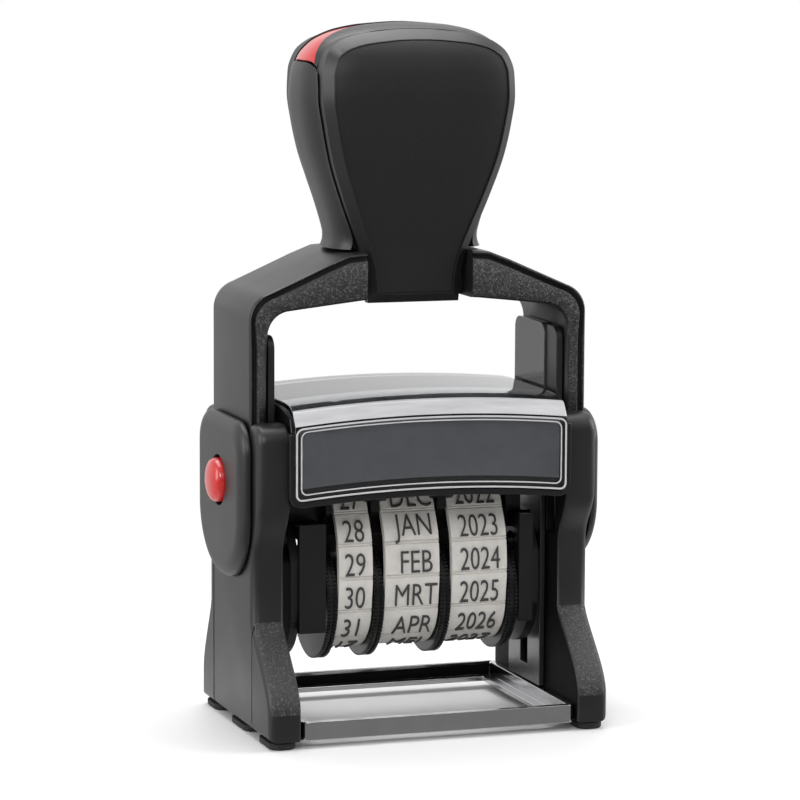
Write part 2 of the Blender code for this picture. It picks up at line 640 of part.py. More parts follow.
def plate_half_width(z):
    """The half width of a face plate at a height, between the places of its outline."""
    heights = [TONGUE_END_Z + share * GRIP_HEIGHT for share in PLATE_HEIGHT_SHARES]
    index = max(place for place, height in enumerate(heights[:-1]) if height <= z)
    way = (z - heights[index]) / (heights[index + 1] - heights[index])
    low, high = PLATE_WIDTH_SHARES[index:index + 2]
    return GRIP_HALF_WIDTH * (low + (high - low) * way)


def neck_outline():
    """The straight-sided way through the beam for the grip's neck, seen from the front."""
    return mirrored([(plate_half_width(TONGUE_END_Z) + NECK_GAP, TONGUE_END_Z - OVERRUN),
                     (plate_half_width(YOKE_TOP_Z + OVERRUN) + NECK_GAP, YOKE_TOP_Z + OVERRUN)])


def yoke():
    corner = (LEG_OUTER_X - YOKE_CORNER_RADIUS, YOKE_CORNER_Z)
    outer = [(LEG_OUTER_X, LEG_END_Z)] + arc(corner, YOKE_CORNER_RADIUS, 0, YOKE_CORNER_SWEEP, ARC_STEPS)
    top_half = plate_half_width(YOKE_TOP_Z + OVERRUN) + NECK_SHOULDER
    outer += [(top_half + BEAM_FOOT_REACH, YOKE_TOP_Z - BEAM_FOOT_DROP), (top_half, YOKE_TOP_Z)]
    arch = (LEG_INNER_X - ARCH_RADIUS, ARCH_SIDE_Z)
    inner = [(ARCH_CROWN_X, ARCH_CROWN_Z)] + arc(arch, ARCH_RADIUS, ARCH_SWEEP, 0, ARC_STEPS)
    inner += [(LEG_INNER_X, LEG_END_Z)]
    half = inner + outer
    outline = half + [(-x, z) for x, z in reversed(half)]
    bow = slab("yoke", outline, "XZ", -LEG_HALF_DEPTH, LEG_HALF_DEPTH)
    depth = PLATE_INNER_Y - SEAT
    for sign, word in ((-1, "front"), (1, "rear")):
        low_y, high_y = sorted((sign * depth, sign * (LEG_HALF_DEPTH + OVERRUN)))
        cut(bow, slab(f"yoke_{word}_notch", neck_outline(), "XZ", low_y, high_y, CUTTERS))
    soften(bow, YOKE_EDGE, 3)
    return dress(shade(bow), BLACK)


def sliding_arm(side, name):
    low_x, high_x = spans(side, ARM_INNER_X, ARM_OUTER_X)
    arm = box(name, (low_x, -ARM_NARROW_HALF, ARM_END_Z), (high_x, ARM_NARROW_HALF, ARM_STEP_Z + OVERRUN))
    cut(arm, rod(name + "_bore", (0, PIVOT_Z), PIN_RADIUS + RUN, low_x - OVERRUN, high_x + OVERRUN,
                 collection=CUTTERS))
    join(arm, box(name + "_head", (low_x, -ARM_WIDE_HALF, ARM_STEP_Z), (high_x, ARM_WIDE_HALF, ARM_TOP_Z),
                  CUTTERS))
    return dress(shade(arm), BLACK_SATIN)


def return_spring(side, name):
    """A wound spring standing in its well, from the floor up to the end of the yoke's leg."""
    low = SPRING_WELL_FLOOR_Z + SEAT + SPRING_WIRE_RADIUS
    high = LEG_END_Z - SEAT - SPRING_WIRE_RADIUS
    steps = SPRING_TURNS * SPRING_CURL_POINTS
    places = []
    for step in range(steps + 1):
        angle = 2 * math.pi * step / SPRING_CURL_POINTS
        places.append(Vector((side * SPRING_X + SPRING_RADIUS * math.cos(angle),
                              SPRING_Y + SPRING_RADIUS * math.sin(angle),
                              low + (high - low) * step / steps)))
    pitch = (high - low) / SPRING_TURNS
    print(name, "least gap between curls in mm:", round((pitch - 2 * SPRING_WIRE_RADIUS) / MM, 2))
    curve = bpy.data.curves.new(name, "CURVE")
    curve.dimensions = "3D"
    curve.bevel_depth = SPRING_WIRE_RADIUS
    curve.bevel_resolution = 1
    curve.use_fill_caps = True
    spline = curve.splines.new("POLY")
    spline.points.add(len(places) - 1)
    for point, place in zip(spline.points, places):
        point.co = (*place, 1.0)
    made = bpy.data.objects.new(name, curve)
    PARTS.objects.link(made)
    curve.materials.append(SPRING)
    return made


# Pad chamber, card and cover, all with the same barrel curve across the stamp

def barrel(x):
    return COVER_BARREL_RISE * (1 - (x / COVER_HALF_WIDTH) ** 2)


def barrel_solid(name, outline, half_width, collection=None):
    """A YZ outline run across the stamp, lifted along the barrel curve."""
    start = slab(name, outline, "YZ", -half_width, half_width, collection)
    work = bmesh.new()
    work.from_mesh(start.data)
    for station in range(1, BARREL_STATIONS):
        x = -half_width + 2 * half_width * station / BARREL_STATIONS
        bmesh.ops.bisect_plane(work, geom=work.verts[:] + work.edges[:] + work.faces[:],
                               plane_co=(x, 0, 0), plane_no=(1, 0, 0))
    for vert in work.verts:
        vert.co.z += barrel(vert.co.x)
    work.to_mesh(start.data)
    work.free()
    return start


def roof_line(inset):
    """The roof from its front edge to its rear edge, an arc drawn in by the inset."""
    reach = COVER_FRONT_Y - COVER_BEVEL_DROP
    rise = COVER_CROWN_Z - COVER_EDGE_Z
    points = []
    for step in range(ROOF_STEPS + 1):
        share = 2 * step / ROOF_STEPS - 1
        points.append((share * (reach - inset), COVER_EDGE_Z + rise * (1 - share ** 2) - inset))
    return points


def clear_cover():
    front = -COVER_FRONT_Y
    wall = COVER_WALL
    outer = [(front, COVER_LOW_Z), (front, COVER_BEVEL_Z)] + roof_line(0)
    outer += [(COVER_FRONT_Y, COVER_BEVEL_Z), (COVER_FRONT_Y, COVER_BEVEL_Z - COVER_REAR_FACE)]
    inner = [(COVER_FRONT_Y - wall, COVER_BEVEL_Z - COVER_REAR_FACE), (COVER_FRONT_Y - wall, COVER_BEVEL_Z)]
    inner += roof_line(wall)[::-1]
    inner += [(front + wall, COVER_BEVEL_Z), (front + wall, COVER_LOW_Z)]
    return dress(shade(barrel_solid("clear_cover", outer + inner, COVER_HALF_WIDTH), CURVED_SHARP), CLEAR)


CARD_FRONT_Y = COVER_FRONT_Y - COVER_WALL - SEAT
CHAMBER_FRONT_Y = CARD_FRONT_Y - CARD_THICKNESS - SEAT
TRAY_HALF_WIDTH = CHAMBER_HALF_WIDTH - CHAMBER_WALL - SLIDE
FELT_HALF_WIDTH = TRAY_HALF_WIDTH - FELT_SIDE_MARGIN
TRAY_FRONT_Y = CHAMBER_FRONT_Y - CHAMBER_WALL - SLIDE


def label_card():
    low, high = CARD_LOW_Z, CARD_LOW_Z + CARD_HEIGHT
    outline = [(-CARD_FRONT_Y, low), (-CARD_FRONT_Y, high), (CARD_THICKNESS - CARD_FRONT_Y, high),
               (CARD_THICKNESS - CARD_FRONT_Y, low)]
    return dress(barrel_solid("label_card", outline, CARD_HALF_WIDTH), CARD)


def pad_chamber():
    inset = COVER_WALL + SEAT
    front = -CHAMBER_FRONT_Y
    rear = CHAMBER_FRONT_Y
    outline = [(front, CHAMBER_LOW_Z), (front, COVER_BEVEL_Z - inset)] + roof_line(inset)
    outline += [(rear, COVER_BEVEL_Z - inset), (rear, CHAMBER_LOW_Z)]
    chamber = barrel_solid("pad_chamber", outline, CHAMBER_HALF_WIDTH)
    inner = CHAMBER_HALF_WIDTH - CHAMBER_WALL
    tray_high = TRAY_LOW_Z + TRAY_HEIGHT + SLIDE
    cut(chamber, box("tray_space", (-inner, front + CHAMBER_WALL, TRAY_LOW_Z - SEAT),
                     (inner, rear + OVERRUN, tray_high), CUTTERS))
    throat = inner - PAD_LEDGE
    cut(chamber, box("die_throat", (-throat, front + CHAMBER_WALL, CHAMBER_LOW_Z - OVERRUN),
                     (throat, rear + OVERRUN, TRAY_LOW_Z), CUTTERS))
    ledge_low = TRAY_LOW_Z - SEAT - PAD_LEDGE_THICKNESS
    cut(chamber, box("under_ledges", (-inner, front + CHAMBER_WALL, CHAMBER_LOW_Z - OVERRUN),
                     (inner, rear + OVERRUN, ledge_low), CUTTERS))
    return dress(shade(chamber, CURVED_SHARP), BLACK)


def pad_tray():
    low, high = TRAY_LOW_Z, TRAY_LOW_Z + TRAY_HEIGHT
    tray = box("pad_tray", (-TRAY_HALF_WIDTH, -TRAY_FRONT_Y, low), (TRAY_HALF_WIDTH, CHAMBER_FRONT_Y, high))
    tab_low = low + (TRAY_HEIGHT - TRAY_TAB_HEIGHT) / 2
    join(tray, box("tray_tab", (-TRAY_TAB_HALF, CHAMBER_FRONT_Y - OVERRUN, tab_low),
                   (TRAY_TAB_HALF, CHAMBER_FRONT_Y + TRAY_TAB_REACH, tab_low + TRAY_TAB_HEIGHT), CUTTERS))
    well = SEAT + FELT_THICKNESS - FELT_STAND_OUT
    cut(tray, box("felt_well", (-FELT_HALF_WIDTH - SEAT, -FELT_HALF_DEPTH - SEAT, low - OVERRUN),
                  (FELT_HALF_WIDTH + SEAT, FELT_HALF_DEPTH + SEAT, low + well), CUTTERS))
    return dress(tray, BLACK_SATIN)


def ink_felt():
    low = TRAY_LOW_Z - FELT_STAND_OUT
    return dress(box("ink_pad", (-FELT_HALF_WIDTH, -FELT_HALF_DEPTH, low),
                     (FELT_HALF_WIDTH, FELT_HALF_DEPTH, low + FELT_THICKNESS)), FELT)


# Side shields and buttons

def side_shield(side, name):
    """A shield outline: straight flanks above, drawn in to a round tip below."""
    points = arc((SHIELD_HALF_DEPTH - SHIELD_CORNER, HOUSING_TOP_Z - SHIELD_CORNER), SHIELD_CORNER, 90, 0,
                 ARC_STEPS)
    for step in range(SHIELD_POINTS + 1):
        angle = math.pi / 2 * step / SHIELD_POINTS
        points.append((SHIELD_TIP_HALF + (SHIELD_HALF_DEPTH - SHIELD_TIP_HALF) * math.cos(angle),
                       SHIELD_SHOULDER_Z - (SHIELD_SHOULDER_Z - SHIELD_LOW_Z) * math.sin(angle)))
    shield = slab(name, mirrored(points), "YZ", *spans(side, BODY_HALF_WIDTH + SEAT, SHIELD_OUTER_X))
    soften(shield, SHIELD_EDGE)
    low_x, high_x = spans(side, BODY_HALF_WIDTH - OVERRUN, SHIELD_OUTER_X + OVERRUN)
    cut(shield, rod(name + "_hole", (0, BUTTON_Z), BUTTON_HOLE_RADIUS, low_x, high_x, collection=CUTTERS))
    return dress(shade(shield), BLACK)


def lock_button(side, name):
    """A turned cap with a shallow dome, on the hole's axis."""
    start = BODY_HALF_WIDTH + SEAT + BUTTON_TRAVEL
    straight = BUTTON_LENGTH - BUTTON_DOME
    profile = [(0, start + BUTTON_LENGTH)]
    for step in range(1, BUTTON_RINGS + 1):
        angle = math.pi / 2 * step / BUTTON_RINGS
        profile.append((BUTTON_RADIUS * math.sin(angle), start + straight + BUTTON_DOME * math.cos(angle)))
    profile += [(BUTTON_RADIUS, start), (0, start)]
    mesh = bpy.data.meshes.new(name)
    mesh.from_pydata([(radius, 0, along - start) for radius, along in profile],
                     [(index, index + 1) for index in range(len(profile) - 1)], [])
    button = new_object(name, mesh)
    turn = button.modifiers.new("turned", "SCREW")
    turn.steps = turn.render_steps = BUTTON_SEGMENTS
    turn.use_merge_vertices = True
    turn.merge_threshold = MERGE_DISTANCE
    button.location = (side * start, 0, BUTTON_Z)
    button.rotation_euler = (0, side * math.pi / 2, 0)
    return dress(shade(button, ROUND_SHARP), RED)


# Date wheels and bands

def toothed_outline():
    points = []
    for tooth in range(DISC_TEETH):
        for share, radius in zip(TOOTH_SHARES, (DISC_RADIUS - TOOTH_DEPTH, DISC_RADIUS)):
            angle = 2 * math.pi * (tooth + share) / DISC_TEETH
            points.append((radius * math.cos(angle), AXLE_Z + radius * math.sin(angle)))
    return points


def date_wheel(name, discs, drum):
    """Toothed discs and the drum that drives the band, on one hub."""
    wheel = slab(name, toothed_outline(), "YZ", *discs[0])
    join(wheel, rod(name + "_drum", (0, AXLE_Z), DRUM_RADIUS, discs[0][1] - DISC_GAP, drum,
                    collection=CUTTERS))
    for disc in discs[1:]:
        join(wheel, slab(name + "_far_disc", toothed_outline(), "YZ", *disc, CUTTERS))
    cut(wheel, rod(name + "_bore", (0, AXLE_Z), AXLE_RADIUS + RUN, discs[0][0] - OVERRUN,
                   LAST_DISC[1] + OVERRUN, collection=CUTTERS))
    set_origin(wheel, (0, 0, AXLE_Z))
    return dress(shade(wheel), BLACK)


def band_path():
    """The outer path of a band: round the drum, up the belly and over the narrow crest."""
    half = [(BAND_BELLY_HALF, BAND_BELLY_Z), (BAND_CHEST_HALF, BAND_CHEST_Z), (BAND_NECK_HALF, BAND_NECK_Z),
            (BAND_TOP_HALF, TYPE_Z - BAND_CREST_DROP), (BAND_TOP_HALF - BAND_CREST_DROP, TYPE_Z)]
    path = arc((0, AXLE_Z), BAND_WHEEL_RADIUS, -180, 0, BAND_ARC_STEPS)
    return path + half + [(-y, z) for y, z in reversed(half)]


def along(path, distance):
    """The point and the inward normal at a distance along a closed path."""
    count = len(path)
    for index in range(count):
        start, end = Vector(path[index]), Vector(path[(index + 1) % count])
        length = (end - start).length
        if distance <= length:
            direction = (end - start) / length
            return start + direction * distance, Vector((-direction.y, direction.x))
        distance -= length
    return Vector(path[0]), Vector((0, 1))


def grooved_path(path):
    """The path with a shallow groove between each two cells."""
    marks = []
    walked = 0.0
    for here, after in zip(path, path[1:] + path[:1]):
        marks.append((walked, Vector(here)))
        walked += (Vector(after) - Vector(here)).length
    grooves = [walked * (cell + CELL_START_SHARE) / BAND_CELLS for cell in range(BAND_CELLS)]
    for centre in grooves:
        for offset, depth in ((-BAND_GROOVE_WIDTH, 0), (0, BAND_GROOVE), (BAND_GROOVE_WIDTH, 0)):
            place, normal = along(path, centre + offset)
            marks.append((centre + offset, place + normal * depth))
    clear = [(walk, place) for walk, place in marks
             if all(abs(walk - centre) >= BAND_GROOVE_WIDTH or abs(walk - centre) < MERGE_DISTANCE
                    for centre in grooves)]
    return [tuple(place) for _, place in sorted(clear, key=lambda mark: mark[0])]


def date_band(name, run):
    path = band_path()
    band = slab(name, grooved_path(path), "YZ", *run)
    cut(band, slab(name + "_inside", parallel_path(path, BAND_THICKNESS), "YZ", run[0] - OVERRUN,
                   run[1] + OVERRUN, CUTTERS))
    set_origin(band, (0, 0, PIVOT_Z))
    return dress(shade(band, CURVED_SHARP), BAND)


# Die frame

def cheek(name, side):
    """A side plate: round about the axle below, with a straight head above the pivot."""
    low_x, high_x = spans(side, *CHEEK_FACES)
    lower = arc((0, AXLE_Z), CHEEK_RADIUS, -90, 0, BAND_ARC_STEPS)
    head = [(CHEEK_RADIUS, PIVOT_Z), (CROSSBAR_HALF_DEPTH + APRON_TAPER, CHEEK_TOP_Z)]
    return slab(name, mirrored(lower + head), "YZ", low_x, high_x, CUTTERS)


def apron(name, side, sign):
    """A flat front or rear plate between a cheek and the outer date disc."""
    low_x, high_x = spans(side, OUTER_DISC_FACE[side] + DISC_GAP, CHEEK_FACES[0] + SEAT)
    low_y, high_y = sorted((sign * APRON_Y, sign * (APRON_Y - APRON_DEPTH)))
    return box(name, (low_x, low_y, APRON_LOW_Z), (high_x, high_y, CHEEK_TOP_Z), CUTTERS)


def die_frame():
    low_x, high_x = -CHEEK_FACES[0] - SEAT, CHEEK_FACES[0] + SEAT
    frame = box("die_frame", (low_x, -CROSSBAR_HALF_DEPTH, CROSSBAR_LOW_Z),
                (high_x, CROSSBAR_HALF_DEPTH, CROSSBAR_HIGH_Z))
    crest_z = TYPE_Z - BAND_THICKNESS - SEAT
    join(frame, box("band_crest", (DAY_BAND[0], -CREST_HALF_DEPTH, CROSSBAR_HIGH_Z - OVERRUN),
                    (YEAR_BAND[1], CREST_HALF_DEPTH, crest_z), CUTTERS))
    for side, word in ((-1, "left"), (1, "right")):
        join(frame, cheek(f"{word}_cheek", side))
        low, high = spans(side, OUTER_DISC_FACE[side] + DISC_GAP, CHEEK_FACES[0] + SEAT)
        for sign, face in ((-1, "front"), (1, "rear")):
            join(frame, apron(f"{word}_{face}_apron", side, sign))
            low_y, high_y = sorted((sign * CROSSBAR_HALF_DEPTH, sign * (APRON_Y - APRON_LEDGE)))
            low_y, high_y = low_y - SEAT, high_y + SEAT
            shelf_low = CHEEK_TOP_Z - APRON_LEDGE_HEIGHT
            join(frame, box(f"{word}_{face}_shelf", (low, low_y, shelf_low),
                            (high, high_y, CHEEK_TOP_Z - APRON_LEDGE), CUTTERS))
    gaps = ((DAY_DISC[0], DAY_DISC[1]), (DAY_BAND[1], MONTH_BAND[0]), (MONTH_BAND[1], YEAR_BAND[0]),
            (LAST_DISC[0], LAST_DISC[1]))
    for index, (low, high) in enumerate(gaps):
        low, high = low + DIVIDER_MARGIN, high - DIVIDER_MARGIN
        outline = mirrored([(CROSSBAR_HALF_DEPTH, CROSSBAR_LOW_Z + SEAT),
                            (BAND_NECK_HALF + TAB_LIFT, BAND_NECK_Z), (BAND_NECK_HALF, TAB_Z),
                            (BAND_TOP_HALF + TAB_LIFT, DIVIDER_TOP_Z)])
        join(frame, slab(f"divider_{index}", outline, "YZ", low, high, CUTTERS))
        for sign, face in ((-1, "front"), (1, "rear")):
            join(frame, rod(f"{face}_tab_{index}", (sign * BAND_NECK_HALF, TAB_Z), TAB_RADIUS,
                            low - TAB_REACH, high + TAB_REACH, TAB_SEGMENTS, CUTTERS))
    cut(frame, rod("frame_axle_bore", (0, AXLE_Z), AXLE_RADIUS + SEAT, -BODY_HALF_WIDTH, BODY_HALF_WIDTH,
                   collection=CUTTERS))
    cut(frame, rod("frame_pin_bore", (0, PIVOT_Z), PIN_RADIUS + SEAT, -BODY_HALF_WIDTH, BODY_HALF_WIDTH,
                   collection=CUTTERS))
    set_origin(frame, (0, 0, PIVOT_Z))
    return dress(shade(frame), BLACK)


def wheel_axle():
    axle = rod("wheel_axle", (0, AXLE_Z), AXLE_RADIUS, -CHEEK_FACES[1], CHEEK_FACES[1])
    set_origin(axle, (0, 0, AXLE_Z))
    return dress(shade(axle), STEEL)


def pivot_pin(side, name):
    low_x, high_x = spans(side, CHEEK_FACES[0] - PIN_GRIP, ARM_OUTER_X)
    pin = rod(name, (0, PIVOT_Z), PIN_RADIUS, low_x, high_x)
    set_origin(pin, (side * ARM_OUTER_X, 0, PIVOT_Z))
    return dress(shade(pin), STEEL)


# Grip

def grip_solid(name, power, grow, collection=None):
    """Rounded sections on one another, each drawn up from the last."""
    mesh = bpy.data.meshes.new(name)
    work = bmesh.new()

    def section(index):
        half_x = GRIP_WIDTH_SHARES[index] * GRIP_HALF_WIDTH + grow
        half_y = GRIP_DEPTH_SHARES[index] * GRIP_HALF_DEPTH + grow
        z = TONGUE_END_Z + GRIP_HEIGHT_SHARES[index] * GRIP_HEIGHT
        places = []
        for step in range(GRIP_SEGMENTS):
            angle = 2 * math.pi * step / GRIP_SEGMENTS
            cosine, sine = math.cos(angle), math.sin(angle)
            reach = (abs(cosine) ** power + abs(sine) ** power) ** (-1 / power)
            places.append((half_x * reach * cosine, half_y * reach * sine, z))
        return places

    ring = bmesh.ops.create_circle(work, cap_ends=True, radius=1.0, segments=GRIP_SEGMENTS)["verts"]
    ring.sort(key=lambda vert: math.atan2(vert.co.y, vert.co.x) % (2 * math.pi))
    for vert, place in zip(ring, section(0)):
        vert.co = place
    edges = [edge for edge in work.edges]
    for index in range(1, len(GRIP_HEIGHT_SHARES)):
        grown = bmesh.ops.extrude_edge_only(work, edges=edges)["geom"]
        ring = [item for item in grown if isinstance(item, bmesh.types.BMVert)]
        edges = [item for item in grown if isinstance(item, bmesh.types.BMEdge)]
        ring.sort(key=lambda vert: math.atan2(vert.co.y, vert.co.x) % (2 * math.pi))
        for vert, place in zip(ring, section(index)):
            vert.co = place
    bmesh.ops.contextual_create(work, geom=edges)
    bmesh.ops.recalc_face_normals(work, faces=work.faces)
    work.to_mesh(mesh)
    work.free()
    return new_object(name, mesh, collection)


def plate_outline(grow):
    """The front plate's outline, seen from the front, grown by a clearance or drawn in by a margin."""
    half = [(share * GRIP_HALF_WIDTH, TONGUE_END_Z + height * GRIP_HEIGHT)
            for height, share in zip(PLATE_HEIGHT_SHARES, PLATE_WIDTH_SHARES)]
    return parallel_path(mirrored(half), -grow)


PLATE_INNER_Y = GRIP_DEPTH_SHARES[0] * GRIP_HALF_DEPTH + PLATE_STAND_OUT - PLATE_DEPTH
LABEL_BACK_Y = PLATE_INNER_Y + PLATE_BACK


def face_plate(sign, name):
    """The squarer solid inside the plate's outline, in front of the plate's back plane."""
    plate = grip_solid(name, PLATE_SQUARE_POWER, PLATE_STAND_OUT)
    low_y, high_y = sorted((sign * PLATE_INNER_Y, sign * (GRIP_HALF_DEPTH + OVERRUN)))
    boolean(plate, as_cutter(slab(name + "_outline", plate_outline(0), "XZ", low_y, high_y, CUTTERS)),
            "INTERSECT")
    low_y, high_y = sorted((sign * (LABEL_BACK_Y - SEAT), sign * (GRIP_HALF_DEPTH + OVERRUN)))
    cut(plate, slab(name + "_label_space", plate_outline(SEAT - LABEL_MARGIN), "XZ", low_y, high_y, CUTTERS))
    return dress(shade(plate, CURVED_SHARP), BLACK)


def label_panel(sign, name):
    """The bare panel let into a face plate, a little below its rim."""
    panel = grip_solid(name, PLATE_SQUARE_POWER, PLATE_STAND_OUT - LABEL_SINK)
    low_y, high_y = sorted((sign * LABEL_BACK_Y, sign * (GRIP_HALF_DEPTH + OVERRUN)))
    boolean(panel, as_cutter(slab(name + "_outline", plate_outline(-LABEL_MARGIN), "XZ", low_y, high_y,
                                  CUTTERS)), "INTERSECT")
    return dress(shade(panel, CURVED_SHARP), PANEL)


def grip_core():
    core = grip_solid("grip_core", GRIP_ROUND_POWER, 0)
    reach = GRIP_HALF_WIDTH + OVERRUN
    depth = GRIP_HALF_DEPTH + OVERRUN
    cut(core, box("core_foot", (-reach, -depth, TONGUE_END_Z - OVERRUN), (reach, depth, YOKE_TOP_Z + SEAT),
                  CUTTERS))
    for sign, word in ((-1, "front"), (1, "rear")):
        low_y, high_y = sorted((sign * (PLATE_INNER_Y - SEAT), sign * depth))
        cut(core, slab(f"{word}_plate_space", plate_outline(SEAT), "XZ", low_y, high_y, CUTTERS))
    insert_z = TONGUE_END_Z + INSERT_LOW_SHARE * GRIP_HEIGHT
    cut(core, box("insert_space", (-reach, -depth, insert_z - SEAT), (reach, depth, GRIP_TOP_Z + OVERRUN),
                  CUTTERS))
    return dress(shade(core), BLACK_SATIN)


def red_insert():
    insert = grip_solid("top_insert", GRIP_ROUND_POWER, 0)
    reach = GRIP_HALF_WIDTH + OVERRUN
    depth = GRIP_HALF_DEPTH + OVERRUN
    insert_z = TONGUE_END_Z + INSERT_LOW_SHARE * GRIP_HEIGHT
    cut(insert, box("below_insert", (-reach, -depth, TONGUE_END_Z - OVERRUN), (reach, depth, insert_z),
                    CUTTERS))
    for sign, word in ((-1, "front"), (1, "rear")):
        low_y, high_y = sorted((sign * (PLATE_INNER_Y - SEAT), sign * depth))
        cut(insert, slab(f"{word}_insert_relief", plate_outline(SEAT), "XZ", low_y, high_y, CUTTERS))
    return dress(shade(insert), RED)


for SIDE, WORD in ((-1, "left"), (1, "right")):
    side_housing(SIDE, f"{WORD}_side_housing")
    feet(SIDE, WORD)
    guide_plate(SIDE, f"{WORD}_guide_plate")
    side_shield(SIDE, f"{WORD}_side_shield")
    lock_button(SIDE, f"{WORD}_lock_button")
    return_spring(SIDE, f"{WORD}_return_spring")
base_frame()
clear_cover()
label_card()
pad_chamber()
CARTRIDGE = [pad_tray(), ink_felt()]

YOKE_PIECES = [yoke(), sliding_arm(-1, "left_sliding_arm"), sliding_arm(1, "right_sliding_arm"),
               grip_core(), face_plate(-1, "grip_front_plate"), face_plate(1, "grip_rear_plate"),
               label_panel(-1, "front_label_panel"), label_panel(1, "rear_label_panel"), red_insert()]
DIE_PIECES = [die_frame(), wheel_axle(), pivot_pin(-1, "left_pivot_pin"), pivot_pin(1, "right_pivot_pin"),
              date_wheel("day_wheel", [DAY_DISC], DAY_BAND[1]),
              date_wheel("month_wheel", [MONTH_DISC], MONTH_BAND[1]),
              date_wheel("year_wheel", [YEAR_DISC, LAST_DISC], LAST_DISC[0] + DISC_GAP),
              date_band("day_band", DAY_BAND), date_band("month_band", MONTH_BAND),
              date_band("year_band", YEAR_BAND)]
YOKE_SLIDE = empty("yoke_slide", (0, 0, YOKE_TOP_Z))
DIE_PIVOT = empty("die_pivot", (0, 0, PIVOT_Z))
CARTRIDGE_SLIDE = empty("cartridge_slide", (0, 0, TRAY_LOW_Z))
carry(YOKE_SLIDE, YOKE_PIECES)
carry(YOKE_SLIDE, [DIE_PIVOT])
carry(DIE_PIVOT, DIE_PIECES)
carry(CARTRIDGE_SLIDE, CARTRIDGE)
STAMP = empty("stamp_origin", (0, 0, 0))
carry(STAMP, [piece for piece in (*PARTS.objects, *CUTTERS.objects)
              if piece.parent is None and piece != STAMP])
STAMP.location.y = (FRONT_FLARE_REACH - REAR_FLARE_REACH) / 2
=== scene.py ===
"""The visual model of a self-inking date stamp, dressed over its CAD frame."""

import math

import bmesh
import bpy
from mathutils import Matrix, Vector


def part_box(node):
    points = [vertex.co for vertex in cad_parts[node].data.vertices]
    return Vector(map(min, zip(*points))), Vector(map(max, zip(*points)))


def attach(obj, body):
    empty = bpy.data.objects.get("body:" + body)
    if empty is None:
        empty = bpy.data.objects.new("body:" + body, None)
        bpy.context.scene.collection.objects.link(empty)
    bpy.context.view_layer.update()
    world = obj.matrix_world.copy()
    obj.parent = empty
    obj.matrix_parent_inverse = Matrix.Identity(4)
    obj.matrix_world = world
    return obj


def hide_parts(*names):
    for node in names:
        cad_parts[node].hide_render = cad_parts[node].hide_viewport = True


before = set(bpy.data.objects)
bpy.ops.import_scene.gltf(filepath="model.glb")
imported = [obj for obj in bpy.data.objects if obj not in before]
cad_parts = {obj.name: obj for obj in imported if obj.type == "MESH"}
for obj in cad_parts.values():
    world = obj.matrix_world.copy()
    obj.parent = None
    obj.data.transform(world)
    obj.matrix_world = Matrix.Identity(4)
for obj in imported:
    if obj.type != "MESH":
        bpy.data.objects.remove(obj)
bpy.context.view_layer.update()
MM = 0.001
BACKWARD_SHIFT = 2.85 * MM
SLACK = 0.01 * MM
BOTH_SIDES = ((-1, "left"), (1, "right"))


# Shader sums written as plain Python
class Value:
    """A socket that takes part in sums; each sum adds its own Math node."""

    def __init__(self, finish, socket):
        self.finish = finish
        self.socket = socket

    def __add__(self, other):
        return self.finish.math("ADD", self, other)

    def __radd__(self, other):
        return self.finish.math("ADD", other, self)

    def __sub__(self, other):
        return self.finish.math("SUBTRACT", self, other)

    def __rsub__(self, other):
        return self.finish.math("SUBTRACT", other, self)

    def __mul__(self, other):
        return self.finish.math("MULTIPLY", self, other)

    def __rmul__(self, other):
        return self.finish.math("MULTIPLY", other, self)

    def clamped(self):
        """The value held between 0 and 1."""
        return self.finish.math("MULTIPLY", self, 1.0, use_clamp=True)


